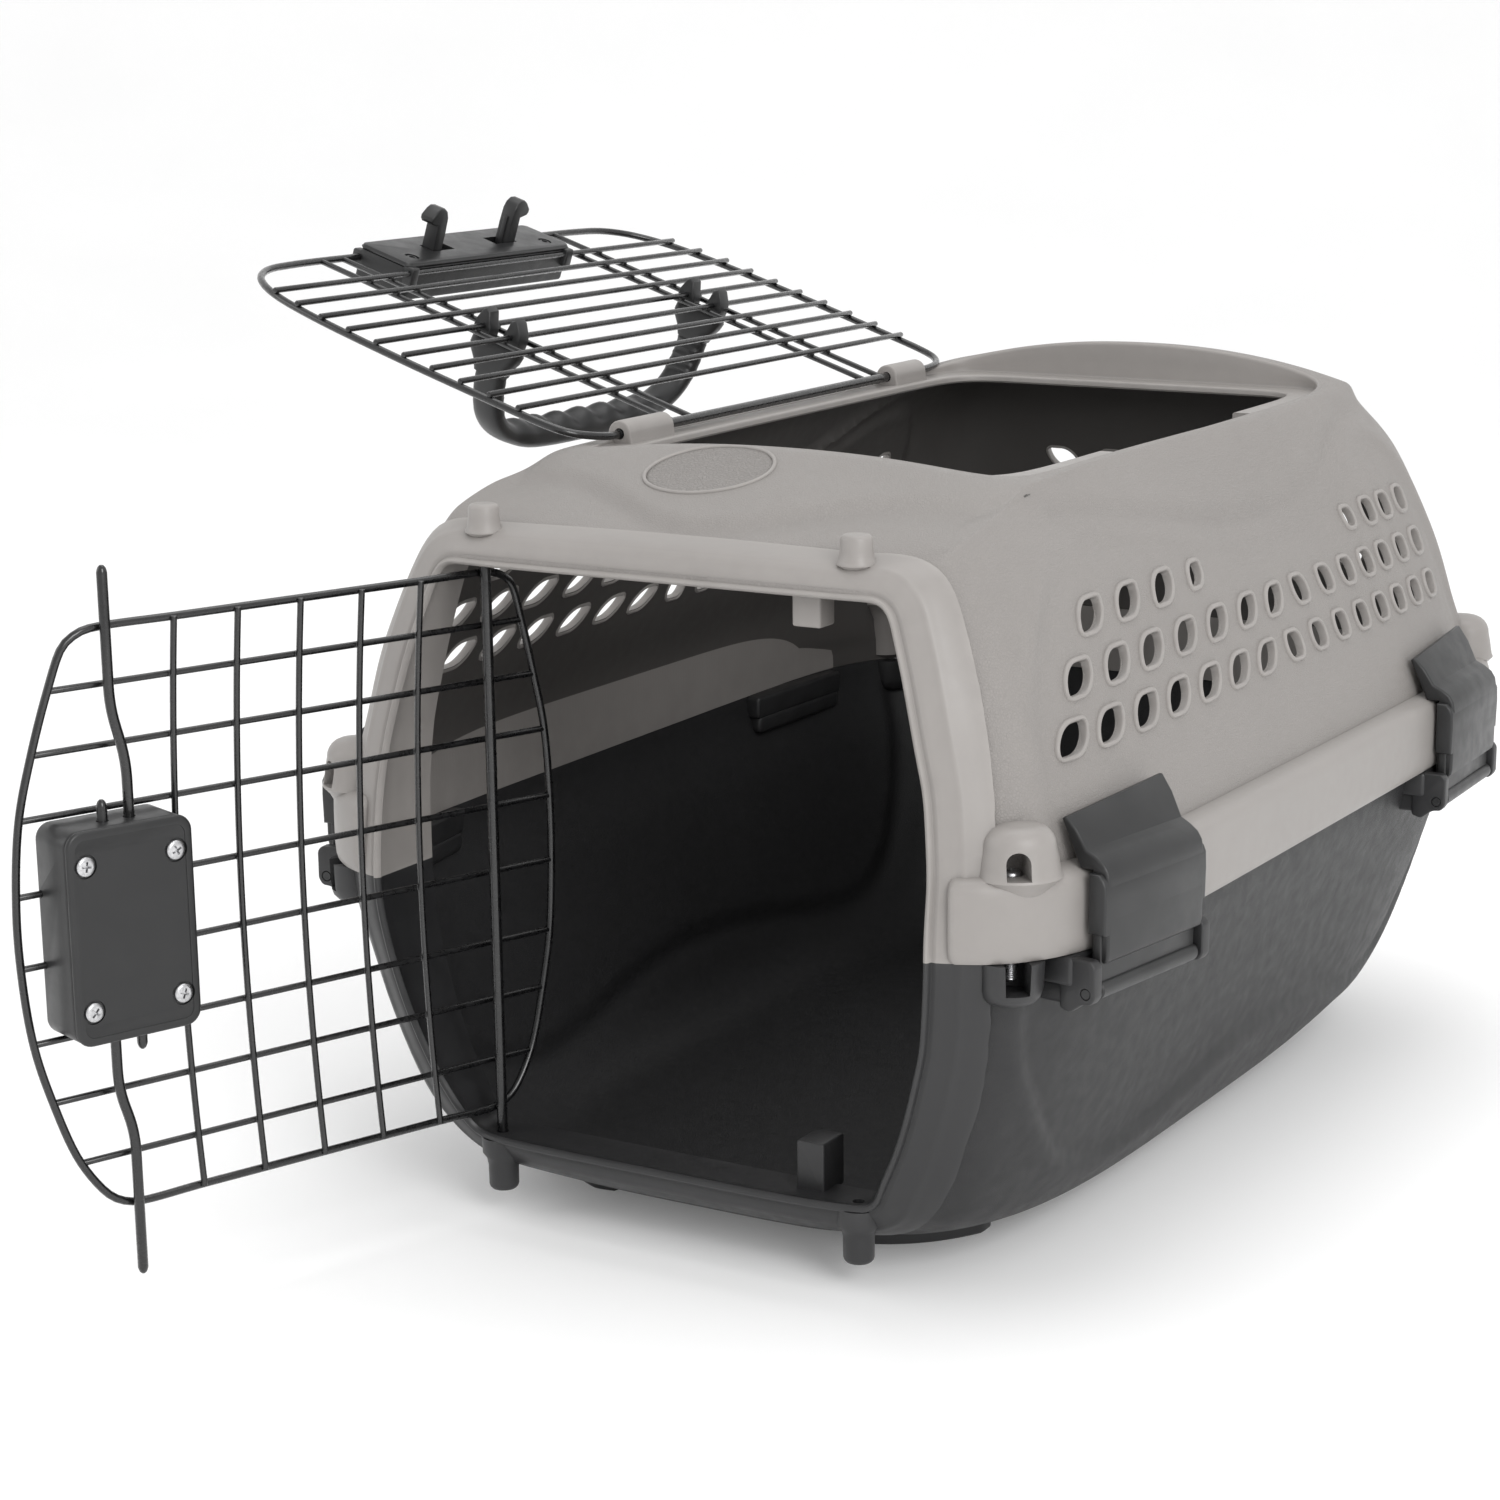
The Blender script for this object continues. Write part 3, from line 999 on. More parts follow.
def rim(top):
    p, n = OUT0, NRM0
    # open run of the outline on this side of the parting plane
    keep = p[:, 1] >= Z_PART if top else p[:, 1] <= Z_PART
    i0 = [i for i in range(len(p)) if keep[i] and not keep[i - 1]][0]
    idx = [(i0 + k) % len(p) for k in range(int(keep.sum()))]
    # exact ends on the parting plane
    P, Nn = p[idx], n[idx]
    a, b = P[0].copy(), P[-1].copy()
    a[1] = b[1] = Z_PART
    a[0] = math.copysign(141.0, a[0])
    b[0] = math.copysign(141.0, b[0])
    P = np.vstack([a, P[1:-1], b])
    Nn[0] = (math.copysign(1, a[0]), 0)
    Nn[-1] = (math.copysign(1, b[0]), 0)
    phis = np.radians(np.concatenate([np.linspace(-22, 40, 32), np.linspace(42, 100, 40)]))
    rings = []
    for o, m in zip(P, Nn):
        s = section(o, m, phis)
        u = (s[:, 0] - o[0]) * m[0] + (s[:, 2] - o[1]) * m[1]
        k = np.argmax(u > 0)
        k = max(1, k)
        t = (0 - u[k - 1]) / (u[k] - u[k - 1])
        s0 = s[k - 1] + (s[k] - s[k - 1]) * t
        run = np.vstack([s0, s[k:]])
        L = np.concatenate([[0], np.cumsum(np.linalg.norm(np.diff(run, axis=0), axis=1))])

        def at(q):
            return np.array([np.interp(q, L, run[:, j]) for j in range(3)])

        def nor(q):
            d = at(min(q + 1.5, L[-1])) - at(max(q - 1.5, 0.0))
            d2 = A(d[0] * m[0] + d[2] * m[1], d[1])
            d2 /= np.linalg.norm(d2)
            # outward normal inside the section plane
            w = A(-d2[1], d2[0])
            if w @ A(0.3, -1) < 0:
                w = -w
            return A(m[0] * w[0], w[1], m[1] * w[0])
        # how far the band runs: to the groove at the side, shorter across the top and the bottom
        yg = np.interp(at(20)[2], YG_Z, YG_Y)
        j = np.argmax(run[:, 1] > yg) if (run[:, 1] > yg).any() else len(run) - 1
        Lg = np.clip(L[j], 22.0, 46.0)
        lat = sstep(94, 122, abs(o[0])) if top else sstep(70, 112, abs(o[0]))
        Lg = 30.0 + (Lg - 30.0) * lat
        h1 = 0.5 + 1.1 * lat
        ring = []
        # lip inside the doorway, from its rear edge forwards
        yf = s0[1]
        for yy in (LIP_Y, LIP_Y - 0.8):
            uu = 0.9 if yy == LIP_Y else 0.0
            ring.append(A(o[0] + m[0] * uu, yy, o[1] + m[1] * uu))
        for yy in np.linspace(LIP_Y - 6, yf + 3.0, 6):
            ring.append(A(o[0], yy, o[1]))
        n_face = nor(1.0)
        n_face = n_face / np.linalg.norm(n_face)
        for q, hh in PROF:
            e = at(q)
            ring.append(e + nor(max(q, 3.0)) * hh)
        for q in (8.0, 10.5, 12.5):
            ring.append(at(q) + nor(q) * (0.5 + 0.35 * (q - 5.7) / 7 + 0.35 * lat * (q - 5.7) / 7))
        # rounded outer corner of the face, then the band
        for q in (14.0, 15.2, 16.5, 18.0, 20.0, 23.0):
            ring.append(at(q) + nor(q) * (h1 * (0.95 if q < 15 else 1.0) + (0.45 * lat if 14.5 < q < 17 else 0)))
        for t in (0.45, 0.7, 0.86):
            q = 23.0 + (Lg - 23.0) * t
            ring.append(at(q) + nor(q) * (h1 * (1 - 0.15 * t) - (0.4 * (1 - lat) * t)))
        for dq, hh in ((-1.6, h1 * 0.7 - 0.5 * (1 - lat)), (-0.4, h1 * 0.1 - 0.5), (0.3, -1.6), (0.6, -4.2)):
            q = Lg + dq
            ring.append(at(q) + nor(Lg - 2) * hh)
        # back on the inner side
        for q in (Lg - 6, 24.0, 14.0, 6.0):
            ring.append(at(q) - nor(q) * 3.4)
        e = at(3.2)
        ring.append(A(o[0] + m[0] * 3.0, min(LIP_Y - 3, e[1] + 8.0), o[1] + m[1] * 3.0))
        ring.append(A(o[0] + m[0] * 3.0, LIP_Y - 0.8, o[1] + m[1] * 3.0))
        ring.append(A(o[0] + m[0] * 2.1, LIP_Y, o[1] + m[1] * 2.1))
        rings.append(np.array(ring))
    G = np.array(rings)
    # smooth along the run, ends kept
    for _ in range(5):
        G[1:-1] = (G[:-2] + 2 * G[1:-1] + G[2:]) / 4
        G[0, :, 2] = G[-1, :, 2] = Z_PART
    N, M = G.shape[:2]
    f = grid_faces(N, M, False, True).tolist()
    f.append(list(range(M))[::-1])
    f.append(list(range((N - 1) * M, N * M)))
    v = G.reshape(-1, 3)
    return v, outward(v, f)


# ------------------------------------------------------------------ vents
def leaf_pts(w, h, flip, lean, grow=0.0, n=7):
    # outline (along, up); large radii on two opposite corners
    R, r = 0.46 * w, min(0.15 * w, 0.2 * h)
    hw, hh = w / 2, h / 2
    f = -1 if flip else 1
    out = []
    for (sy, sz, q) in [(-1, 1, R), (1, 1, r), (1, -1, R), (-1, -1, r)]:
        q2 = min(q * 1.35, h - r - 0.6) if q == R else q
        cy, cz = sy * (hw - q), sz * (hh - q2)
        a0, a1 = {(-1, 1): (180, 90), (1, 1): (90, 0), (1, -1): (0, -90), (-1, -1): (-90, -180)}[(sy, sz)]
        for k in range(n):
            t = math.radians(a0 + (a1 - a0) * k / (n - 1))
            out.append((cy + (q + grow) * math.cos(t), cz + (q2 + grow) * math.sin(t)))
    p = np.array([(f * a + lean * b, b) for a, b in out])
    p = resample(p, n=44, closed=True)
    for _ in range(1):
        p = (np.roll(p, 1, 0) + 4 * p + np.roll(p, -1, 0)) / 6
    return p


def vent_list():
    out = []
    for z, fr, re in VENT_ROWS:
        for lst, flip in ((fr, False), (re, True)):
            for y, k in lst:
                w = float(np.interp(y, [-200, -100, 0, 60, 200], [22.0, 21.0, 18.4, 15.8, 14.6]))
                h = float(np.interp(y, [-200, -100, 0, 200], [12.2, 11.8, 11.2, 10.8]))
                lean = 0.4 if flip else float(np.interp(y, [-200, -100, 0], [0.42, 0.46, 0.55]))
                if k < 0.8:
                    w, h = w * 0.72, h * 0.78
                for sx in (1, -1):
                    out.append((A(0, y, z), A(0, 1, 0), A(sx, 0, 0), w, h, flip, lean))
    for z, xs in REAR_VENTS:
        for x in xs:
            out.append((A(x, 0, z), A(-1, 0, 0), A(0, 1, 0), 17.0, 11.5, x > 0, 0.3))
    return out


LIPP = [(0.65, -3.4), (0.12, -3.1), (0.0, -2.4), (0.0, 0.6), (0.2, 1.15), (0.65, 1.5), (1.3, 1.5), (1.85, 1.15), (2.2, 0.4), (2.35, -1.0), (1.6, -3.0)]


def vent_parts():
    cutters, lips = [], []
    for c, al, d, w, h, flip, lean in vent_list():
        p = leaf_pts(w, h, flip, lean)
        t = np.roll(p, -1, 0) - np.roll(p, 1, 0)
        t /= np.linalg.norm(t, axis=1)[:, None]
        n = np.stack([t[:, 1], -t[:, 0]], 1)
        if np.mean(np.sum(n * p, 1)) < 0:
            n = -n
        up = A(0, 0, 1)
        base = c + al * 0
        hc = hit(base + d * 60, d)
        if hc is None:
            continue
        # distance of the skin along d, at a few places round the vent, as a plane fit plus residual
        ring3 = []
        for q, m in zip(p, n):
            row = []
            e = q + m * 1.3
            hh = hit(base + al * e[0] + up * e[1] + d * 60, d)
            ring3.append(hh[0] @ d if hh is not None else hc[0] @ d)
        ring3 = np.array(ring3)
        for _ in range(3):
            ring3 = (np.roll(ring3, 1) + 2 * ring3 + np.roll(ring3, -1)) / 4
        # local slope, so that the lip stands square to the skin
        nn = hc[1]
        if nn @ d < 0:
            nn = -nn
        rings = []
        for a, b in LIPP:
            rows = []
            for k in range(len(p)):
                e = p[k] + n[k] * a
                base_p = base + al * e[0] + up * e[1]
                base_p = base_p - d * (base_p @ d) + d * ring3[k]
                # shift with the slope of the skin for the part of e beyond the sampled place
                de = (al * n[k][0] + up * n[k][1]) * (a - 1.3)
                base_p = base_p - d * ((de @ nn) / (nn @ d))
                rows.append(base_p + nn * b)
            rings.append(rows)
        v, f = np.array(rings).reshape(-1, 3), grid_faces(len(LIPP), len(p), True, True).tolist()
        lips.append((v, outward(v, f)))
        g = leaf_pts(w, h, flip, lean, 0.7)
        ra = np.array([base + al * q[0] + up * q[1] + d * (ring3.min() - 14) for q in g])
        rb = np.array([base + al * q[0] + up * q[1] + d * (ring3.max() + 8) for q in g])
        cutters.append(loft_rings([ra, rb]))
    return cutters, lips


# ------------------------------------------------------------------ flange round the parting plane
def flange():
    dims = (FL_A, FL_F, FL_R, FL_N)
    t = np.linspace(0, 2 * math.pi, 12001)
    x, y = plan(t, np.full(t.shape, 181.0), 0.0, dims)
    # start at the front right end and go round the rear to the front left end
    k0 = np.argmin(np.hypot(x - 155.5, y + 295) + (t > math.pi) * 0 + np.where(x < 0, 1e3, 0))
    k1 = np.argmin(np.hypot(x + 155.5, y + 295) + np.where(x > 0, 1e3, 0))
    if k0 > k1:
        seq = np.concatenate([np.arange(k0, 12001), np.arange(0, k1 + 1)])
    else:
        seq = np.arange(k0, k1 + 1)
    p = resample(np.stack([x[seq], y[seq], np.zeros(len(seq))], 1), step=2.6)
    tt = np.gradient(p, axis=0)
    tt /= np.linalg.norm(tt, axis=1)[:, None]
    n = np.stack([tt[:, 1], -tt[:, 0], np.zeros(len(p))], 1)
    if n[len(n) // 2] @ A(0, 1, 0) < 0:
        n = -n
    pr = [(-14.0, 200.5), (-8.0, 199.6), (-5.0, 198.9), (-3.6, 198.2), (-2.2, 197.2), (-1.1, 195.8), (-0.4, 193.8), (0.0, 191.0), (0.15, 186), (0.2, 180), (0.15, 174),
          (0.0, 169.0), (-0.25, 166.4), (-0.8, 164.4), (-1.7, 163.2), (-3.0, 163.0), (-14.0, 163.0)]
    rings = []
    N = len(p)
    for i in range(N):
        # the last millimetres of each end are rounded off
        e = min(i, N - 1 - i) * 2.6
        rings.append([(p[i] + n[i] * a) * A(1, 1, 0) + A(0, 0, z) for a, z in pr])
    rings = np.array(rings)
    ends = []
    c = A(0, 0, 181.0)
    for s, i in ((1, 0), (-1, N - 1)):
        cap = []
        for k in (1, 2, 3):
            th = k / 3 * math.pi / 2
            o, g = 3.2 * math.sin(th), 3.0 * (1 - math.cos(th))
            ring = rings[i] - s * tt[i] * o
            mid = p[i] - n[i] * 7.0
            q = []
            for (a, z), r in zip(pr, ring):
                rr = r.copy()
                if a > -13:
                    rr = rr - n[i] * g * min(1, (a + 14) / 8)
                rr[2] = 181.0 + (rr[2] - 181.0) * (1 - g / 18.0)
                q.append(rr)
            cap.append(q)
        ends.append(cap)
    allr = [np.array(q) for q in ends[0][::-1]] + list(rings) + [np.array(q) for q in ends[1]]
    return loft_rings(allr)


# ------------------------------------------------------------------ build the shells
def shell_obj(name, mesh, mats):
    o = make(name, mesh[0], mesh[1], mats, None, True, 180)
    bm = bmesh.new()
    bm.from_mesh(o.data)
    bmesh.ops.recalc_face_normals(bm, faces=bm.faces)
    bm.to_mesh(o.data)
    bm.free()
    return o


def by_outline(off, y0, y1, z0=-50.0, z1=500.0):
    p, _ = outline(off)
    ra = np.array([(a, y0, b) for a, b in p])
    rb = np.array([(a, y1, b) for a, b in p])
    return loft_rings([ra, rb])


def bolt_dir(sx, by):
    # way a corner's screw recess opens
    d = A(sx * 0.66, -0.75 if by < 0 else 0.75, 0)
    return d / np.linalg.norm(d)


def dome(sx, bx, by):
    # boss over a corner bolt, open outwards, with the bolt's seat at its bottom
    pr = [(0, 166), (9, 166), (9.5, 188), (13.0, 194.5), (16.3, 198.0), (15.7, 199.6), (15.1, 203), (14.5, 207), (13.7, 211)]
    for k in range(1, 7):
        t = k / 6 * math.pi / 2
        pr.append((13.7 - 8.0 * (1 - math.cos(t)), 211 + 9.0 * math.sin(t)))
    pr += [(3.0, 220.6), (0, 220.8)]
    v, f = lathe(pr, (0, 0, 0), (0, 0, 1), 56)
    # longer along the flange than across it, and drawn towards the middle of the side
    d = bolt_dir(sx, by)
    t = A(-d[1], d[0], 0) * (1 if sx * by < 0 else -1)
    c = A(sx * bx, by, 0) + t * 3.6 - d * 1.0
    a, b = v @ d, v @ t
    return np.outer(a, d) + np.outer(b * 1.16, t) + v * A(0, 0, 1) + c, f


def dome_cut(sx, bx, by):
    # upright channel with a round top, from the bolt outwards
    z0, z1, r = 199.0, 206.0, 5.1
    prof = [(-r, z0), (r, z0)]
    for k in range(0, 13):
        t = math.pi * k / 12
        prof.append((r * math.cos(t), z1 + r * math.sin(t)))
    d = bolt_dir(sx, by)
    n = A(-d[1], d[0], 0)
    c = A(sx * bx, by, 0)
    ra = np.array([c + n * a + A(0, 0, z) - d * 0.5 for a, z in prof])
    rb = np.array([c + n * a + A(0, 0, z) + d * 45 for a, z in prof])
    a = loft_rings([ra, rb])
    b = lathe([(0, HEAD_Z), (r + 0.1, HEAD_Z), (r + 0.1, z1), (r * 0.9, z1 + r * 0.45), (r * 0.7, z1 + r * 0.72), (r * 0.4, z1 + r * 0.93), (0, z1 + r * 1.01)], c, (0, 0, 1), 40)
    return a, b


def peg(sx, top):
    if top:
        pr = [(0, 312), (PEG_R - 2.5, 312), (PEG_R - 1.5, 320.5), (PEG_R + 1.5, 322.6), (PEG_R + 1.5, 323.6), (PEG_R + 0.8, 324.8), (PEG_R + 0.35, 326.6), (PEG_R + 0.05, 329.0), (PEG_R - 0.1, PEG_TOP - 2.0),
              (PEG_R - 0.5, PEG_TOP - 0.9), (PEG_R - 1.4, PEG_TOP - 0.2), (PEG_R - 2.4, PEG_TOP), (0, PEG_TOP)]
    else:
        pr = [(0, PEG_BOT), (PEG_R - 2.4, PEG_BOT), (PEG_R - 1.2, PEG_BOT + 0.3), (PEG_R - 0.4, PEG_BOT + 1.2), (PEG_R, PEG_BOT + 2.4), (PEG_R + 0.1, 24.0),
              (PEG_R + 0.8, 27.5), (PEG_R + 2.6, 30.0), (PEG_R + 3.0, 38), (0, 38)]
    return lathe(pr, (sx * PEG_X, PEG_Y, 0), (0, 0, 1), 44)


def latch_frame(ly):
    h = LATCH_W / 2.0
    b, yc = (FL_F + FL_R) / 2.0, (FL_R - FL_F) / 2.0

    def fx(y):
        return FL_A * (1 - (abs(y - yc) / b) ** FL_N) ** (1.0 / FL_N) * (1.0 + TAPER * y / 300.0)
    xa, xb = fx(ly - h), fx(ly + h)
    ang = math.atan2(xb - xa, 2 * h)
    out = max((fx(ly - h + 2 * h * i / 40.0) - (xa + (xb - xa) * i / 40.0)) * math.cos(ang) for i in range(41)) + 0.7
    return (xa + xb) / 2.0 + out * math.cos(ang), ly - out * math.sin(ang), ang


def to_latch(m, ly, side):
    x, y, a = latch_frame(ly)
    v = rot(m[0], (0, 0, 0), (0, 0, 1), -math.degrees(a)) + A(x, y, 0)
    return (v, m[1]) if side > 0 else mirror_x((v, m[1]))


def join_into(o, extra, mat, angle=None):
    # adds closed parts to an object as they are, with one material index
    me = o.data
    bm = bmesh.new()
    bm.from_mesh(me)
    for v, f in extra:
        vs = [bm.verts.new(Vector(p) * MM) for p in v]
        for q in f:
            try:
                fc = bm.faces.new([vs[i] for i in q])
                fc.material_index = mat
                fc.smooth = True
            except ValueError:
                pass
    bm.to_mesh(me)
    bm.free()
    me.update()


def tidy(o, angle=34.0, dist=0.02):
    bm = bmesh.new()
    bm.from_mesh(o.data)
    bmesh.ops.remove_doubles(bm, verts=bm.verts, dist=dist * MM)
    bmesh.ops.dissolve_degenerate(bm, edges=bm.edges, dist=0.005 * MM)
    lim = math.radians(angle)
    for fc in bm.faces:
        fc.smooth = True
    for e in bm.edges:
        e.smooth = not (len(e.link_faces) == 2 and e.calc_face_angle(0) > lim)
    bm.to_mesh(o.data)
    bm.free()
    o.data.update()


def union_all(o, meshes, mat_of=None):
    for m in meshes:
        c = tmp(m, "c", list(o.data.materials), True, 180)
        if mat_of is not None:
            c.data.polygons.foreach_set("material_index", [mat_of] * len(c.data.polygons))
        boolean(o, c, "UNION")
    return o


def box_cut(x0, x1, y0, y1, z0, z1):
    return loft_rings([[(x0, y0, z0), (x1, y0, z0), (x1, y1, z0), (x0, y1, z0)], [(x0, y0, z1), (x1, y0, z1), (x1, y1, z1), (x0, y1, z1)]])


def difference(o, meshes):
    for m in meshes:
        boolean(o, tmp(m, "c", list(o.data.materials), True, 180), "DIFFERENCE")
    return o


# upper shell: grained skin is material 0, satin details are material 1, the inside is material 2
top = shell_obj("upper_shell", top_mesh, [M_LIGHT, M_LIGHT_SATIN, M_LIGHT_IN])
cnt = full.shape[1]
n_out = outer.shape[1]
col = np.arange(cnt)
band = np.where(col < n_out, 0, np.where(col < cnt - inner.shape[1], 1, 2))
top.data.polygons.foreach_set("material_index", np.tile(band, full.shape[0]).astype(np.int32)[: len(top.data.polygons)])
vc, vl = vent_parts()
difference(top, [by_outline(1.2, -340, LIP_Y - 2), cat(vc)])
fl = flange()
domes = [dome(sx, *BOLT_XY[0]) for sx in (1, -1)] + [dome(sx, *BOLT_XY[1]) for sx in (1, -1)]
y0, y1 = HOOK_Y
ledge = slab(CATCH[0], CATCH[1], CATCH[2], CATCH[3], CATCH[4], CATCH[5], 2.5, 0.8)
difference(top, [box_cut(NOTCH[0], 116.4, NOTCH[2], NOTCH[3], 335, 400), box_cut(-140, -105, -88, 143, 345.0, 400)])
stop_t = rbox(62, 76, -265.0, LIP_Y, 293, DOOR_Z1 + 2, 1.2)
knuck = []
for ya, yb in ((-128, -88), (143, 178)):
    pr = [(TH_X - 7.5, Z_REC - 2), (TH_X + 7.5, Z_REC - 2)]
    for k in range(0, 17):
        t = -0.12 + (math.pi + 0.24) * k / 16
        pr.append((TH_X + 6.5 * math.cos(t), TH_Z + 6.5 * math.sin(t)))
    knuck.append(prism([(a, ya, b) for a, b in pr], (0, yb - ya, 0), 1.0, 3))
holes = [lathe([(0, ya - 5), (T_ROD_R + 0.3, ya - 5), (T_ROD_R + 0.3, yb + 5), (0, yb + 5)], (TH_X, 0, TH_Z), (0, 1, 0), 28) for ya, yb in ((-128, -88), (143, 178))]
hook_cut = [box_cut(94, 106, a, b, 320, 335) for a, b in ((y0 - 1.0, y0 + 19.0), (y1 - 19.0, y1 + 1.0))]
union_all(top, [fl, cat(domes), cat([ledge, stop_t, peg(1, True), peg(-1, True)] + knuck), rim(True)], 1)
ca, cb_ = [], []
for px, py in ((-67.0, -282.0), (78.0, -277.0)):
    cb_.append(lathe([(0, 322.6), (1.2, 322.6), (1.9, 323.4), (2.2, 330), (0, 330)], (px, py, 0), (0, 0, 1), 20))
for sx in (1, -1):
    for bx, by in BOLT_XY:
        a, b = dome_cut(sx, bx, by)
        ca.append(a)
        cb_.append(b)
    cb_.append(lathe([(0, 300), (F_ROD_R + 0.3, 300), (F_ROD_R + 0.3, PEG_TOP - 3.5), (0, PEG_TOP - 3.5)], (sx * PEG_X, PEG_Y, 0), (0, 0, 1), 28))
difference(top, [cat(ca), cat(cb_ + holes + hook_cut)])
join_into(top, vl, 1)
tidy(top)

# lower shell: fine-textured skin 0, satin 1, inside 2
bot = shell_obj("lower_shell", bot_mesh, [M_DARK, M_DARK_SATIN, M_DARK_IN])
difference(bot, [by_outline(1.2, -340, LIP_Y - 2)])
lug_a, lug_b, lug_c, lugs = [], [], [], []
for sx in (1, -1):
    for ly in LATCH_Y:
        lug_a.append(to_latch(rbox(-24, -2.2, -46, 46, 150, Z_PART - 0.2, 2.0), ly, sx))
        lug_b.append(to_latch(rbox(-24, -6, -44, 44, 141, 152, 3.0), ly, sx))
        for e in (-1, 1):
            pr = [(-9, Z_PART - 0.5), (-9, 140.0), (-4, 138.5), (2, LP_Z - 5.0), (6.5, LP_Z - 4.5), (8.6, LP_Z - 1.5), (8.6, Z_PART - 3.0), (6.5, Z_PART - 0.5)]
            lug_c.append(to_latch(prism([(a, e * 42 - 3, b) for a, b in pr], (0, 6, 0), 0.8, 3, 1.2), ly, sx))
    for bx, by in BOLT_XY:
        lugs.append(lathe([(0, 143.5), (8, 143.6), (10.8, 144.6), (13.0, 147.0), (14.2, 151.0), (14.7, Z_PART - 0.2), (0, Z_PART - 0.2)], (sx * bx, by, 0), (0, 0, 1), 48))


def foot(sx, sy):
    # crescent pad along the corner of the floor
    t = np.linspace(0, math.pi / 2, 40)
    c = even_chi(720, 6.0)
    x, y = plan(c, np.full(c.shape, 6.0), -3.5)
    k = (x * sx > 66) & (np.abs(x) < 160) & (y * sy > 176)
    p = np.stack([x[k], y[k]], 1)
    ang = np.arctan2(p[:, 1] * sy, p[:, 0] * sx)
    p = resample(p[np.argsort(ang)], step=3.0)
    g = np.gradient(p, axis=0)
    g /= np.linalg.norm(g, axis=1)[:, None]
    n = np.stack([g[:, 1], -g[:, 0]], 1)
    if np.mean(np.sum(n * p, 1)) < 0:
        n = -n
    rings = []
    N = len(p)
    for i in range(N):
        e = min(i, N - 1 - i)
        s = min(1.0, 0.45 + 0.2 * e)
        hw = 8.2 * s
        m = p[i] - n[i] * 8.2
        rings.append([(m[0] + n[i][0] * a * hw, m[1] + n[i][1] * a * hw, z) for a, z in
                      [(-1, 9), (-1, 1.2), (-0.93, 0.35), (-0.8, 0.0), (0.8, 0.0), (0.93, 0.35), (1, 1.2), (1, 9)]])
    return loft_rings(rings)


feet = [foot(sx, sy) for sx in (1, -1) for sy in (1, -1)]
feet.append(lathe([(0, 0), (13.2, 0), (13.8, 0.3), (14, 1.0), (14, 8), (0, 8)], (0, 0, 0), (0, 0, 1), 48))
stop_b = rbox(62, 76, -265.0, LIP_Y + 6, DOOR_Z0 - 2, 62, 1.2)
union_all(bot, [cat(feet + lugs + [stop_b, peg(1, False), peg(-1, False)]), cat(lug_a), cat(lug_b), cat(lug_c), rim(False)], 1)
cuts, cuts2 = [], []
for sx in (1, -1):
    cuts.append(lathe([(0, PEG_BOT + 3), (F_ROD_R + 0.3, PEG_BOT + 3), (F_ROD_R + 0.3, 75), (0, 75)], (sx * PEG_X, PEG_Y, 0), (0, 0, 1), 28))
    for bx, by in BOLT_XY:
        cuts.append(lathe([(0, 149), (6.0, 149), (6.0, 170), (0, 170)], (sx * bx, by, 0), (0, 0, 1), 28))
        d = bolt_dir(sx, by)
        n = A(-d[1], d[0], 0)
        c = A(sx * bx, by, 0)
        cuts2.append(loft_rings([[c + n * a + A(0, 0, z) + d * e for a, z in ((-5.2, 149.5), (5.2, 149.5), (5.9, 170.0), (-5.9, 170.0))] for e in (0, 40)]))
    for ly in LATCH_Y:
        cuts.append(to_latch(lathe([(0, -50), (2.6, -50), (2.6, 50), (0, 50)], (4.1, 0, LP_Z), (0, 1, 0), 24), ly, sx))
difference(bot, [cat(cuts), cat(cuts2)])
tidy(bot)
for o, n in ((top, "top_shell"), (bot, "bottom_shell")):
    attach(o, "shell")
    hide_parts(n)


# ------------------------------------------------------------------ hardware
def piece(name, mesh, mat, body, nodes=(), angle=34.0, mats=None):
    o = make(name, mesh[0], mesh[1], [mat] if mats is None else mats, None, True, angle)
    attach(o, body)
    if nodes:
        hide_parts(*nodes)
    return o


def cut_piece(o, meshes, angle=34.0):
    for m in meshes:
        boolean(o, tmp(m, "c", list(o.data.materials), True, 180), "DIFFERENCE")
    tidy(o, angle)
    return o


def fillet_path(pts, rad, n=7):
    p = [np.asarray(q, float) for q in pts]
    r = rad if isinstance(rad, (list, tuple)) else [rad] * len(p)
    out = [p[0]]
    for i in range(1, len(p) - 1):
        a, b, c = p[i - 1], p[i], p[i + 1]
        u, w = (a - b) / np.linalg.norm(a - b), (c - b) / np.linalg.norm(c - b)
        L = min(r[i], 0.48 * np.linalg.norm(a - b), 0.48 * np.linalg.norm(c - b))
        for t in np.linspace(0, 1, n):
            out.append(bez(b + u * L, b, b + w * L, t))
    out.append(p[-1])
    return np.array(out)


def tapered(path, r, n=16, tip=(3.0, 0.45), both=True):
    # round rod along a path with slightly pointed ends
    p = np.asarray(path, float)

    def end(p, rev):
        q = p[::-1] if rev else p
        d = q[1] - q[0]
        d /= np.linalg.norm(d)
        add = [q[0], q[0] + d * 0.25, q[0] + d * 0.9, q[0] + d * 2.0, q[0] + d * tip[0]]
        return add, [tip[1] * 0.7, tip[1], 0.72, 0.9, 1.0]
    a, sa = end(p, False)
    b, sb = end(p, True)
    body = p[1:-1]
    q = np.vstack([a, body, b[::-1]])
    return sweep(q, circle(r, n), False, None, sa + [1.0] * len(body) + sb[::-1])


def swap_yz(m):
    # mesh made with (x, z, y) order turned into (x, y, z)
    v = np.array(m[0], float)[:, [0, 2, 1]]
    return v, outward(v, m[1])


def slab_y(x0, x1, z0, z1, ya, yb, r, e, n=6):
    ya, yb = min(ya, yb), max(ya, yb)
    return swap_yz(slab(x0, x1, z0, z1, ya, yb, r, e, n))


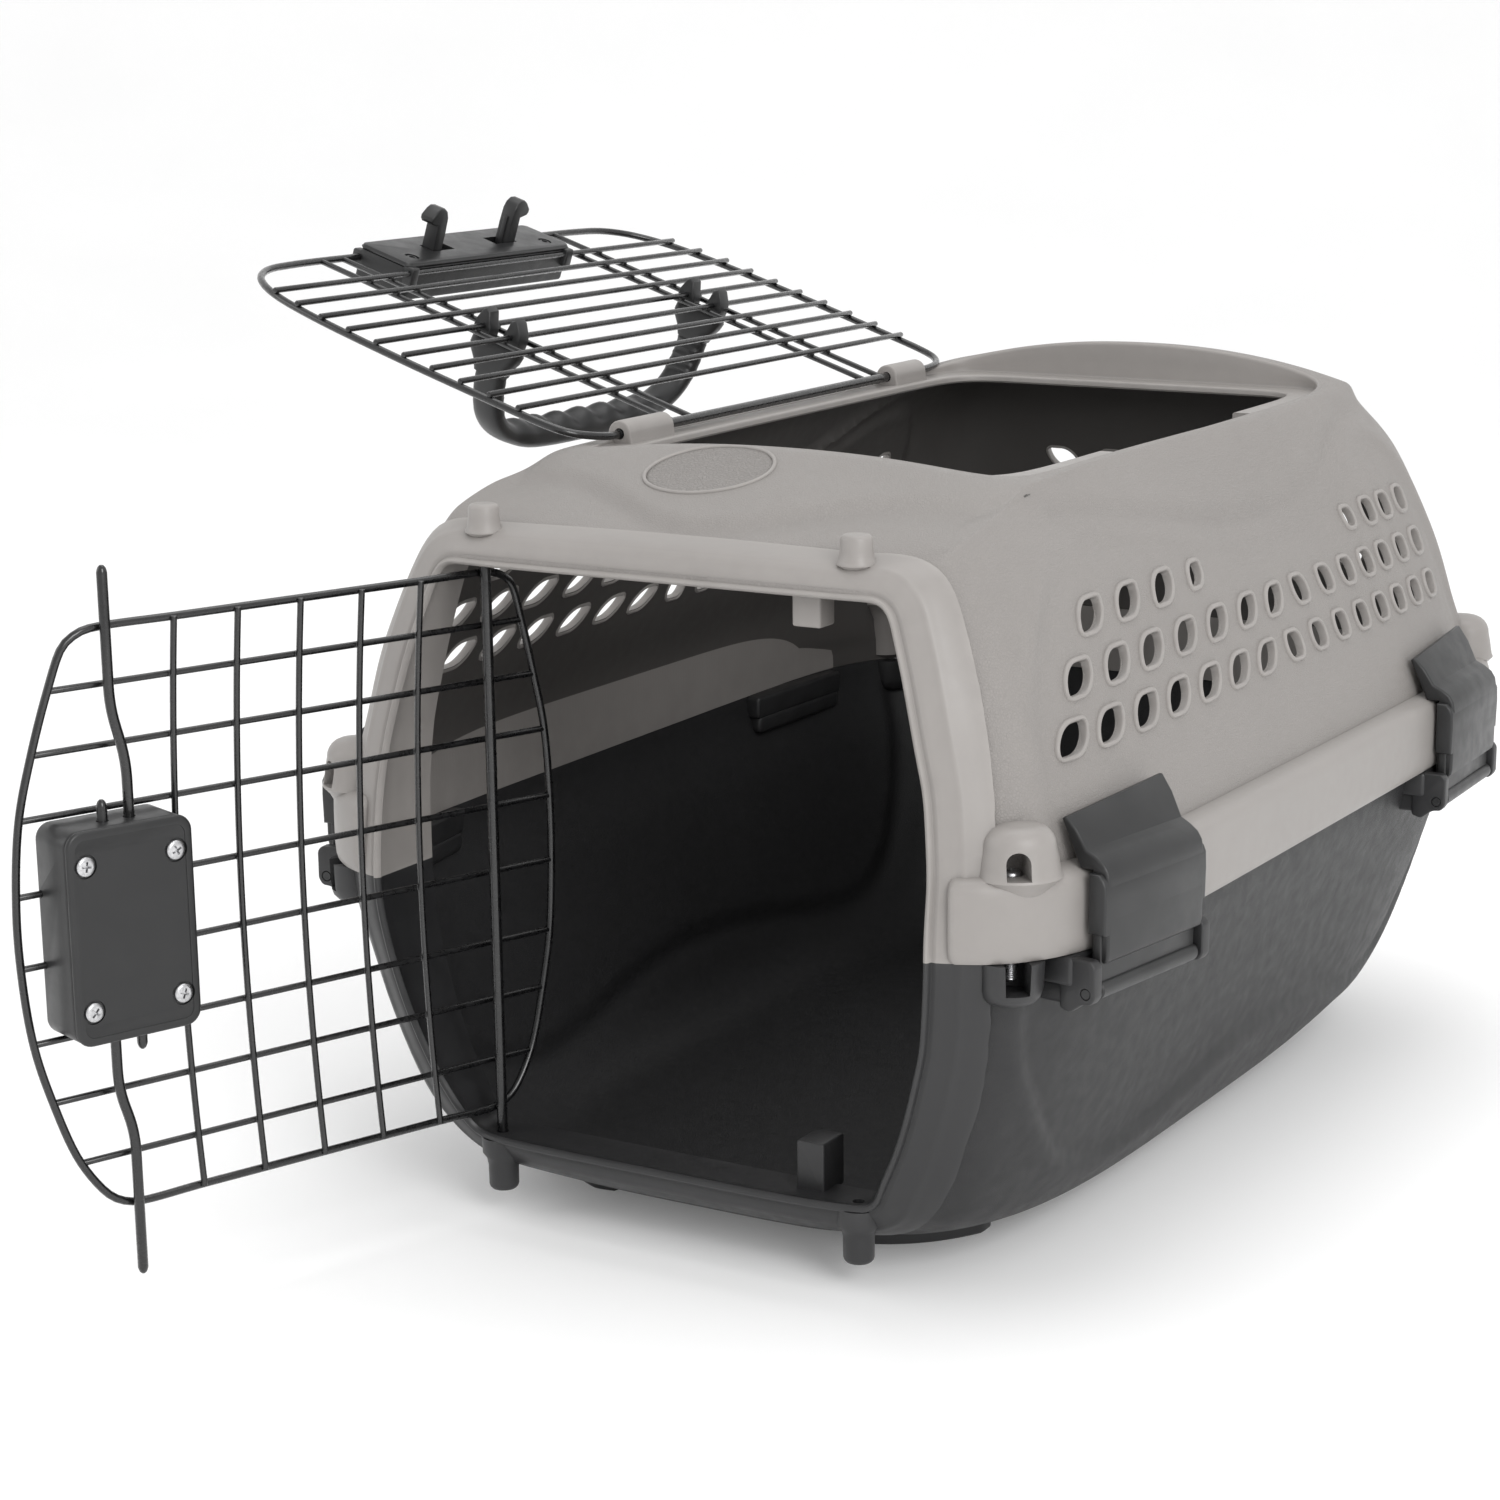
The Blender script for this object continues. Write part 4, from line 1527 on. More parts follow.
def cross_cut(c, axis, u, w, depth, arm=2.6):
    # cross recess: two tapered slots
    c, a, u = np.asarray(c, float), np.asarray(axis, float), np.asarray(u, float)
    k = np.cross(a, u)
    out = []
    for p, q in ((u, k), (k, u)):
        top_r = [c + a * 0.6 + p * s * arm + q * t * w for s, t in ((-1, -1), (1, -1), (1, 1), (-1, 1))]
        bot_r = [c - a * depth + p * s * arm * 0.45 + q * t * w * 0.7 for s, t in ((-1, -1), (1, -1), (1, 1), (-1, 1))]
        out.append(loft_rings([bot_r, top_r]))
    return out


def pan_head(c, axis, r, h, u, shank=(1.5, 10.0)):
    pr = [(0, -shank[1]), (shank[0] * 0.5, -shank[1]), (shank[0], -shank[1] + 1.2), (shank[0], 0.0), (r - 0.15, 0.0), (r, 0.15), (r, h * 0.45)]
    for k in range(1, 6):
        t = k / 5 * math.pi / 2
        pr.append((r - r * 0.42 * (1 - math.cos(t)), h * 0.45 + h * 0.5 * math.sin(t)))
    pr += [(r * 0.3, h * 0.985), (0, h)]
    return lathe(pr, c, axis, 36, u)


def star_cut(c, axis, u, r, depth, n=6):
    a, uu = np.asarray(axis, float), np.asarray(u, float)
    k = np.cross(a, uu)
    ring = []
    for i in range(n * 6):
        t = 2 * math.pi * i / (n * 6)
        q = r * (1 + 0.13 * math.cos(n * t))
        ring.append((q * math.cos(t), q * math.sin(t)))
    return loft_rings([[np.asarray(c) + a * h + uu * p[0] + k * p[1] for p in ring] for h in (-depth, 0.8)])


# front door
def bow(z):
    return 4.35 + (F_BOW - 3.0) * np.maximum(0.0, 1 - ((z - F_ZC) / F_ZH) ** 2)


def fpt(x, z, o=0.0):
    return A(x, PEG_Y - bow(z) - o, z)


zt, zb = F_ZC + F_ZH, F_ZC - F_ZH
right = [(a, b) for a, b in reversed(F_HW)]
hl = ([(60, zt), (96, zt), (103.6, zt - 1.0), (109.4, zt - 4.0)] + right + [(101.0, zb + 2.2), (94.0, zb), (60, zb)])
loop = [(0.0, zt)] + hl + [(0.0, zb)] + [(-a, b) for a, b in reversed(hl)]
lp = catmull(np.array(loop, float), 8, True)
WN = 16
parts = [wire([fpt(a, b) for a, b in lp], F_PER_R, True, WN, 4.0)]
for z in F_H:
    h = float(pch([b for a, b in F_HW], [a for a, b in F_HW], z))
    if 150 < z < 200:
        parts.append(wire([fpt(-h, z), fpt(90.0, z)], F_WIRE_R, False, WN))
        parts.append(wire([fpt(102.0, z), fpt(h, z)], F_WIRE_R, False, WN))
    else:
        parts.append(wire([fpt(-h, z), fpt(h, z)], F_WIRE_R, False, WN))
for x in F_V:
    parts.append(wire([fpt(x, z, -(F_WIRE_R * 2 - 0.55)) for z in np.linspace(zb - 0.6, zt + 0.6, 60)], F_WIRE_R, False, WN))
# weld marks: small flattened collars where wires cross
for z in F_H:
    for x in F_V:
        c = fpt(x, z, -(F_WIRE_R - 0.3))
        parts.append(lathe([(0, -1.1), (1.25, -1.0), (1.75, -0.45), (1.75, 0.45), (1.25, 1.0), (0, 1.1)], c, (0, 1, 0), 12))
piece("front_door_wires", turn_f(cat(parts)), M_WIRE, "front_door", ["front_door_grid"])
piece("front_door_rod", turn_f(tapered([A(-PEG_X, PEG_Y, z) for z in np.linspace(22.0, 330.0, 8)], F_ROD_R, 20, (2.4, 0.6))), M_WIRE, "front_door", ["front_door_hinge_rod"])

bx0, bx1 = -PEG_X + BOX_S[0], -PEG_X + BOX_S[1]
by_in, by_out = PEG_Y - BOX_O[0], PEG_Y - BOX_O[1]
xc, zc = (bx0 + bx1) / 2.0, (BOX_Z[0] + BOX_Z[1]) / 2.0
SU, SL = -PEG_X + 184.0, -PEG_X + 196.5
hous = piece("door_latch_case", slab_y(bx0, bx1, BOX_Z[0], BOX_Z[1], by_in - 2.9, by_out, 7.0, 1.6, 8), M_HARD, "front_door", ["door_latch_housing"])
cc = [slab_y(bx0 + 2.5, bx1 - 2.5, BOX_Z[0] + 2.5, BOX_Z[1] - 2.5, by_in + 3, by_out + 3.0, 5.0, 0.6),
      lathe([(0, 0), (ROD_R + 0.4, 0), (ROD_R + 0.4, 160), (0, 160)], (SU, PEG_Y, 100), (0, 0, 1), 24),
      lathe([(0, 0), (ROD_R + 0.4, 0), (ROD_R + 0.4, 160), (0, 160)], (SL, PEG_Y, 100), (0, 0, 1), 24),
      slab_y(xc - 5.4, xc + 5.4, 138.3, 207.7, by_out - 3, by_out + 6, 2.0, 0.3)]
for z in F_H[3:6]:
    y = fpt(0, z)[1]
    cc.append(lathe([(0, 0), (F_WIRE_R + 0.25, 0), (F_WIRE_R + 0.25, 96), (0, 96)], (40, y, z), (1, 0, 0), 16))
cut_piece(hous, cc)


def turn_obj(o, which):
    n = len(o.data.vertices)
    co = np.empty(n * 3)
    o.data.vertices.foreach_get("co", co)
    v = co.reshape(-1, 3) / MM
    v = turn_f((v, None))[0] if which == "f" else turn_t((v, None))[0]
    o.data.vertices.foreach_set("co", (v * MM).ravel())
    o.data.update()
    return o


turn_obj(hous, "f")
cover = piece("door_latch_lid", slab_y(bx0 - 0.25, bx1 + 0.25, BOX_Z[0] - 0.25, BOX_Z[1] + 0.25, by_in - 2.8, by_in, 7.2, 1.3, 8), M_HARD, "front_door", ["door_latch_cover"])
cc = []
rim_g = cat([slab_y(bx0 + 3.4, bx1 - 3.4, BOX_Z[0] + 3.4, BOX_Z[1] - 3.4, by_in - 0.45, by_in + 2, 4.6, 0.2, 8)])
cc.append(rim_g)
for sx in (-1, 1):
    for sz in (-1, 1):
        c = (xc + sx * SCREW_S, by_in - 3.0, zc + sz * SCREW_Z)
        cc.append(lathe([(0, 1.75), (5.1, 1.75), (5.5, 4), (0, 4)], c, (0, 1, 0), 32))
cut_piece(cover, cc)
turn_obj(cover, "f")
heads = []
for sx in (-1, 1):
    for sz in (-1, 1):
        c = (xc + sx * SCREW_S, by_in - 1.3, zc + sz * SCREW_Z)
        heads.append((c, pan_head(c, (0, 1, 0), 4.3, 2.3, (1, 0, 0), (1.4, 9.0))))
scr = piece("door_latch_case_screws", cat([h[1] for h in heads]), M_ZINC, "front_door", ["door_latch_screws"])
cuts = []
for i, (c, h) in enumerate(heads):
    t = math.radians((20, 65, 40, 8)[i])
    cuts += cross_cut(A(*c) + A(0, 2.25, 0), (0, 1, 0), (math.cos(t), 0, math.sin(t)), 0.5, 1.6, 2.7)
cut_piece(scr, [cat(cuts[0::2]), cat(cuts[1::2])], 28)
turn_obj(scr, "f")

up = fillet_path([(PEG_X, PEG_Y, 329.6), (PEG_X, PEG_Y, 270), (SU, PEG_Y, 247), (SU, PEG_Y, 120.3)], 9.0)
lo_ = fillet_path([(PEG_X, PEG_Y, 19.6), (PEG_X, PEG_Y, 84), (SL, PEG_Y, 105), (SL, PEG_Y, 231.7)], 9.0)
piece("upper_door_bolt", turn_f(tapered(up, ROD_R, 18)), M_WIRE, "upper_bolt_set", ["upper_bolt"])
piece("lower_door_bolt", turn_f(tapered(lo_, ROD_R, 18)), M_WIRE, "lower_bolt_set", ["lower_bolt"])
yo = by_out + 5.4
for nm, bd, S, za, zb2, x0, x1, node in (("upper_slider", "upper_bolt_set", SU, 196.0, 206.0, SU - 6, SU + 7.0, "upper_bolt_slider"),
                                        ("lower_slider", "lower_bolt_set", SL, 140.5, 150.5, SL - 7.0, SL + 6, "lower_bolt_slider")):
    m = [rbox(x0, x1, yo, by_in - 4, za, zb2, 0.8), rbox(xc - 4.9, xc + 4.9, by_out - 7.4, yo + 0.8, za + 0.2, zb2 - 0.2, 1.2)]
    for k in (2.2, 4.2, 6.2):
        m.append(rbox(xc - 4.0, xc + 4.0, by_out - 8.0, by_out - 6.4, za + k, za + k + 0.9, 0.35))
    piece(nm, turn_f(cat(m)), M_HARD, bd, [node])


def coil(p, axis, r, wr, length, turns, n=10):
    axis = np.asarray(axis, float)
    a = np.eye(3)[np.argmin(np.abs(axis))]
    a = a - axis * (a @ axis)
    a /= np.linalg.norm(a)
    b = np.cross(axis, a)
    t = np.linspace(0, 1, int(turns * 22))
    th = 2 * math.pi * turns * t
    path = np.asarray(p, float) + np.outer(t * length, axis) + r * (np.outer(np.cos(th), a) + np.outer(np.sin(th), b))
    return sweep(path, circle(wr, n), False)


piece("bolt_spring", turn_f(coil((xc + 0.2, by_in - 6.6, 151.4), (0, 0, 1), 1.9, 0.45, 43.7, 11)), M_SPRING, "front_door", ["door_latch_spring"])


# top door
def tp(s, y, o=0.0):
    return A(TH_X + s, y, TH_Z + o)


ym = (T_Y0 + T_Y1) / 2.0
ka, kb = -128.5, 178.5
per = [tp(0, ka), tp(0.0, ka - 8), tp(3.0, ka - 17), tp(10, T_Y0 + 5), tp(20, T_Y0 + 1), tp(60, T_Y0 - 1.0), tp(115, T_Y0 - 1.5), tp(170, T_Y0 + 1.5),
       tp(T_W - 30, T_Y0 + 8), tp(T_W - 12, T_Y0 + 20), tp(T_W - 3, T_Y0 + 36), tp(T_W, T_Y0 + 60), tp(T_W, ym - 40)]
far = [A(p[0], 2 * ym - p[1], p[2]) for p in reversed(per[2:])]
per = per + far + [tp(0.0, kb + 8), tp(0, kb)]
parts = [wire(catmull(np.array(per), 8), T_PER_R, False, WN, 4.0, 0.1)]
for i in range(10):
    s = T_FIRST + T_PITCH * i
    e = (3.0 if i > 7 else 0.0) + (4.0 if i == 9 else 0.0)
    parts.append(wire([tp(s, T_Y0 - 2.4 + e, -2.9), tp(s, T_Y1 + 2.4 - e, -2.9)], T_WIRE_R, False, WN))
for y in T_CROSS:
    parts.append(wire([tp(2.0, y), tp(T_W + 1.2, y)], T_WIRE_R, False, WN))
for i in range(10):
    for y in T_CROSS:
        parts.append(lathe([(0, -1.15), (1.3, -1.05), (1.8, -0.5), (1.8, 0.5), (1.3, 1.05), (0, 1.15)], tp(T_FIRST + T_PITCH * i, y, -1.45), (0, 0, 1), 12))
piece("top_door_wires", turn_t(cat(parts)), M_WIRE, "top_door", ["top_door_grid"])
piece("top_door_rod", turn_t(tapered([A(TH_X, y, TH_Z) for y in np.linspace(ka + 0.01, kb - 0.01, 8)], T_ROD_R, 20, (2.0, 0.8))), M_WIRE, "top_door", ["top_door_hinge_rod"])

hx0, hx1, hy0, hy1 = TH_X + 196.5, TH_X + 230.5, -45.0, 108.0
hz0, hz1 = TH_Z - 8.0, TH_Z + 13.0
hxm = TH_X + 213.5
y0, y1 = HOOK_Y
slots = [(y0 - 1.0, y0 + 19.0), (y1 - 19.0, y1 + 1.0)]


def dish(x0, x1, y0_, y1_, z0, z1, r, e, taper):
    # block whose lower edge is drawn in, like a moulded housing with draft
    rings = []
    for o, z in ((taper + e, z0), (taper + e * 0.3, z0 + e * 0.3), (taper, z0 + e), (0.0, z1 - e), (e * 0.3, z1 - e * 0.3), (e, z1)):
        rings.append([(p[0], p[1], z) for p in rrect(x0 + o, x1 - o, y0_ + o, y1_ - o, max(0.4, r - o * 0.5), 6)])
    return loft_rings(rings)


hs = piece("top_latch_case", dish(hx0, hx1, hy0, hy1, hz0 + 2.6, hz1, 4.0, 1.5, 0.0), M_HARD_TEX, "top_door", ["top_latch_housing"])
cc = [slab(hx0 + 2.2, hx1 - 2.2, hy0 + 2.2, hy1 - 2.2, hz0 - 2, hz1 - 2.2, 2.5, 0.4),
      lathe([(0, -80), (T_PER_R + 0.3, -80), (T_PER_R + 0.3, 200), (0, 200)], tp(T_W, 0), (0, 1, 0), 18),
      lathe([(0, -80), (T_WIRE_R + 0.3, -80), (T_WIRE_R + 0.3, 200), (0, 200)], tp(T_FIRST + 9 * T_PITCH, 0, -2.9), (0, 1, 0), 18)]
cc += [box_cut(hxm - 4.8, hxm + 4.8, a, b, hz1 - 4, hz1 + 4) for a, b in slots]
cut_piece(hs, cc)
turn_obj(hs, "t")
cv = piece("top_latch_lid", dish(hx0 - 0.2, hx1 + 0.2, hy0 - 0.2, hy1 + 0.2, hz0, hz0 + 2.55, 4.2, 0.9, 0.6), M_HARD, "top_door", ["top_latch_cover"])
cc = [lathe([(0, -3), (4.2, -3), (3.8, 1.2), (0, 1.2)], (hx0 + 9, yy, hz0), (0, 0, 1), 32) for yy in (hy0 + 14, hy1 - 14)]
cc += [box_cut(hxm - 4.8, hxm + 4.8, a, b, hz0 - 4, hz0 + 4) for a, b in slots]
cut_piece(cv, cc)
# end clips over the outer wire and small studs
clips = []
for yy in (hy0 + 3.5, hy1 - 3.5):
    clips.append(rbox(hx1 - 6.5, hx1 + 3.6, yy - 3.2, yy + 3.2, TH_Z - 3.6, TH_Z + 6.0, 1.2))
    clips.append(rbox(hx0 - 3.2, hx0 + 4.0, yy - 3.2, yy + 3.2, TH_Z - 6.2, TH_Z + 4.0, 1.2))
turn_obj(cv, "t")
piece("top_latch_clips", turn_t(cat(clips)), M_HARD, "top_door", ())
hd_ = []
for yy in (hy0 + 14, hy1 - 14):
    hd_.append(pan_head((hx0 + 9, yy, hz0 + 1.25), (0, 0, -1), 3.3, 1.0, (1, 0, 0), (1.3, 9.0)))
sc_ = piece("top_latch_case_screws", cat(hd_), M_HARD, "top_door", ["top_latch_screws"])
cut_piece(sc_, [cat([star_cut((hx0 + 9, yy, hz0 + 0.3), (0, 0, -1), (1, 0, 0), 1.7, 0.7) for yy in (hy0 + 14, hy1 - 14)])], 28)
turn_obj(sc_, "t")


def hook(y, d):
    # stem, bent nose and finger tab
    x0, x1 = hxm - 4.2, hxm + 4.2
    zt0 = 317.5
    core = [(y, hz1 + 5.5), (y, 327.6), (y + d * 5.6, 326.2), (y + d * 7.0, 324.6), (y + d * 7.0, 322.6), (y + d * 3.4, zt0 + 1.4), (y + d * 0.8, zt0), (y - d * 2.6, zt0 + 0.1),
            (y - d * 5.6, zt0 + 2.0), (y - d * 7.4, zt0 + 5.6), (y - d * 8.0, 331.0), (y - d * 8.0, hz1 + 4.0), (y - d * 6.4, hz1 + 5.5)]
    p = [(a, b) for a, b in core]
    m = [prism([(x0, a, b) for a, b in p], (x1 - x0, 0, 0), 0.9, 3)]
    m.append(rbox(hx0 + 4, hx1 - 8.2, *sorted((y - d * 0.2, y - d * 7.8)), TH_Z - 0.8, TH_Z + 8.5, 0.9))
    # rib down the back of the stem
    m.append(rbox(hxm - 1.3, hxm + 1.3, *sorted((y - d * 7.6, y - d * 9.2)), 327.0, TH_Z + 6.0, 0.6))
    return cat(m)


piece("top_hook_front", turn_t(hook(y0, -1)), M_HARD, "hook_front", ["top_latch_hook_front"])
piece("top_hook_rear", turn_t(hook(y1, 1)), M_HARD, "hook_rear", ["top_latch_hook_rear"])
piece("hook_spring", turn_t(coil((hxm, y0 + 8.7, TH_Z + 4.0), (0, 1, 0), 2.4, 0.5, (y1 - y0) - 17.4, 14)), M_SPRING, "top_door", ["top_latch_spring"])


# carry handle
def handle():
    ya, yb = -68.0, 130.0
    sH = T_FIRST + T_PITCH * 4.5
    cl = np.array([tp(sH, ya, 4.0), tp(sH, ya, 14.0), tp(sH, ya + 0.5, 24.0), tp(sH, ya + 3.0, 35.0), tp(sH, ya + 9.5, 46.0), tp(sH, ya + 22.0, 54.5), tp(sH, ya + 45.0, 59.5), tp(sH, (ya + yb) / 2.0, 61.0),
                   tp(sH, yb - 45.0, 59.5), tp(sH, yb - 22.0, 54.5), tp(sH, yb - 9.5, 46.0), tp(sH, yb - 3.0, 35.0), tp(sH, yb - 0.5, 24.0), tp(sH, yb, 14.0), tp(sH, yb, 4.0)])
    p = resample(catmull(cl, 10), step=1.6)
    t, n, b = frames(p, False, up=(1, 0, 0))       # n along +x, b in the plane of the bail
    mid = A(p[:, 0].mean(), (ya + yb) / 2, TH_Z + 20)
    L = np.linspace(0, 1, len(p))
    rings = []
    for i in range(len(p)):
        inner = mid - p[i]
        inner -= t[i] * (inner @ t[i])
        inner -= n[i] * (inner @ n[i])
        inner /= max(1e-6, np.linalg.norm(inner))
        yy = p[i][1]
        grip = float(sstep(26, 44, min(yy - ya, yb - yy)))
        w = 8.6 + 1.2 * grip
        hb = 5.6 + 1.4 * grip
        wave = grip * 3.4 * (0.5 - 0.5 * math.cos(2 * math.pi * (yy - (ya + yb) / 2 + 11) / 22.0))
        rib = 0.0
        if grip < 0.2 and 10 < (p[i][2] - TH_Z) < 44:
            rib = 0.7 * max(0.0, math.sin(2 * math.pi * L[i] * 58)) ** 0.6
        q = []
        # D section: flat outside, round inside (towards the palm)
        for k in range(28):
            th = 2 * math.pi * k / 28
            cx, cy = math.cos(th), math.sin(th)
            e = 2.6
            rr = (abs(cx) ** e + abs(cy) ** e) ** (-1 / e)
            a_, b_ = rr * cx * (w + 0.3 * rib), rr * cy
            if b_ > 0:
                hh = hb + wave * (0.35 + 0.65 * max(0, 1 - (a_ / w) ** 2)) + rib
            else:
                hh = hb * 0.86
            q.append(p[i] + n[i] * a_ + inner * b_ * hh)
        rings.append(q)
    m = [loft_rings(rings)]
    for y in (ya, yb):
        # head of the leg: waisted saddle with two wedge hooks over the wires
        rg = []
        for z, wx, wy in ((1.6, 12.8, 4.4), (3.0, 14.6, 5.6), (7.0, 15.2, 6.2), (11.0, 13.6, 6.4), (15.0, 10.6, 6.6), (20.0, 8.8, 6.2)):
            ring = []
            for k in range(32):
                th = 2 * math.pi * k / 32
                e = 4.0
                cx, cy = math.cos(th), math.sin(th)
                rr = (abs(cx) ** e + abs(cy) ** e) ** (-1 / e)
                ring.append(tp(sH + rr * cx * wx, y + rr * cy * wy, z))
            rg.append(ring)
        m.append(loft_rings(rg))
        for e in (-1, 1):
            sw = sH + e * T_PITCH * 0.5
            pr = [(sw - e * 4.6, 3.0), (sw + e * 5.2, 3.0), (sw + e * 6.0, -2.0), (sw + e * 5.4, -5.4), (sw + e * 2.4, -11.2), (sw + e * 0.6, -12.4), (sw - e * 2.0, -11.0), (sw - e * 3.2, -6.4), (sw - e * 4.8, -3.0)]
            pts = [tp(a, y - 4.4, c) for a, c in pr]
            m.append(prism(pts, (0, 8.8, 0), 0.9, 3))
    return cat(m)


piece("grip_handle", turn_t(handle()), M_HARD, "top_door", ["carry_handle"])


# side latches: a flap with a sloped top, a body over the flange and a hinge barrel
def side_latch():
    w = LATCH_W
    t = Z_FLANGE
    ya, yb = -w / 2.0 + 4.0, w / 2.0 - 1.0
    pts = [(0, 159.2), (0, t + 0.7), (-6.4, t + 0.7), (-15.9, 225.5), (-14.6, 226.9), (-13.1, 227.0), (-8.0, 219.0),
           (-2.9, t + 9.0), (1.6, t + 6.8), (5.6, t + 4.0), (7.8, t + 0.6), (8.6, t - 4.0), (8.75, t - 18), (8.6, 163.2), (8.0, 160.4), (6.4, 159.2)]
    body = prism([(a, ya + 3.0, b) for a, b in pts], (0, yb - ya - 5.0, 0), 1.4, 4)
    v = body[0]
    # the finger tab is lower towards the end of the carrier
    k = np.clip((v[:, 2] - 207.0) / 20.0, 0, 1)
    v[:, 2] -= k * (2.0 + 5.5 * (yb - v[:, 1]) / (yb - ya))
    m = [body]
    side = [(0, 172), (0, t), (5.1, t), (7.4, t - 2.4), (8.6, t - 5), (8.9, 186), (8.6, 172)]
    m.append(prism([(a, ya, b) for a, b in side], (0, yb - ya, 0), 1.2, 3))
    m.append(lathe([(0, -37), (3.2, -37), (4.0, -36.2), (4.0, 36.2), (3.2, 37), (0, 37)], (4.1, 0, LP_Z), (0, 1, 0), 28))
    m.append(rbox(1.4, 5.6, -36.0, 36.8, LP_Z, 175, 0.8))
    m.append(lathe([(0, -45), (2.1, -45), (2.5, -44.4), (2.5, 44.4), (2.1, 45), (0, 45)], (4.1, 0, LP_Z), (0, 1, 0), 20))
    return m


sl = side_latch()
for (side, i), nm in {(1, 0): "side_latch_front_right", (1, 1): "side_latch_rear_right", (-1, 0): "side_latch_front_left", (-1, 1): "side_latch_rear_left"}.items():
    ly = LATCH_Y[i]
    m = cat([to_latch(k, ly, side) for k in sl])
    piece(nm + "_flap", m, M_HARD, nm.replace("side_latch", "latch"), [nm])

# corner bolts
heads, cuts = [], []
for sx in (-1, 1):
    for i, (bx, by) in enumerate(BOLT_XY):
        zh = HEAD_Z
        pr = [(0, 153.0), (1.6, 153.0), (2.7, 154.1)]
        z = 154.5
        while z < 166.0:
            pr += [(2.45, z), (2.98, z + 0.42)]
            z += 0.85
        pr += [(2.9, 167.0), (2.9, zh - 0.3), (4.3, zh - 0.3), (4.45, zh), (4.45, zh + 2.4)]
        for k in range(1, 6):
            t = k / 5 * math.pi / 2
            pr.append((4.45 - 2.2 * (1 - math.cos(t)), zh + 2.4 + 2.1 * math.sin(t)))
        pr += [(1.6, zh + 4.6), (0, zh + 4.65)]
        heads.append(lathe(pr, (sx * bx, by, 0), (0, 0, 1), 36))
        t = math.radians((25, 70, 10, 50)[i + (sx > 0) * 2])
        cuts.append(cross_cut((sx * bx, by, zh + 4.6), (0, 0, 1), (math.cos(t), math.sin(t), 0), 0.62, 2.0, 3.1))
cb = piece("corner_screws", cat(heads), M_ZINC, "shell", ["corner_bolts"])
cut_piece(cb, [cat([c[0] for c in cuts]), cat([c[1] for c in cuts])], 28)


# badge: a plain oval field with a raised border on the crown of the roof
BADGE = [(-18.0 + 31.0 * math.cos(2 * math.pi * k / 96), -200.0 + 25.0 * math.sin(2 * math.pi * k / 96)) for k in range(96)]


def on_roof(p, lift=0.0):
    h = hit((p[0], p[1], 460.0), (0, 0, -1))
    n = h[1] if h[1][2] > 0 else -h[1]
    return h[0] + n * lift


def badge():
    p = np.array(BADGE)
    c = p.mean(0)
    edge = np.array([on_roof(q, 0.15) for q in p])
    bead = sweep(edge, circle(1.0, 12), True, (0, 0, 1))
    rings = []
    for k, lift in ((0.03, -1.2), (0.99, -1.2), (0.99, 0.12), (0.9, 0.18), (0.75, 0.2), (0.6, 0.2), (0.45, 0.2), (0.3, 0.2), (0.15, 0.2), (0.03, 0.2)):
        rings.append([on_roof(c + (q - c) * k, lift) for q in p])
    return bead, loft_rings(rings)


M_BADGE = moulded("badge_field", tuple(c * 0.9 for c in LIGHT), 0.55, 1.9, 1.0, 0.1, 0.35, 0.1, 0.03, 0, 0.30)
top.data.materials.append(M_BADGE)
bd, fld = badge()
join_into(top, [bd], 1)
join_into(top, [fld], 3)


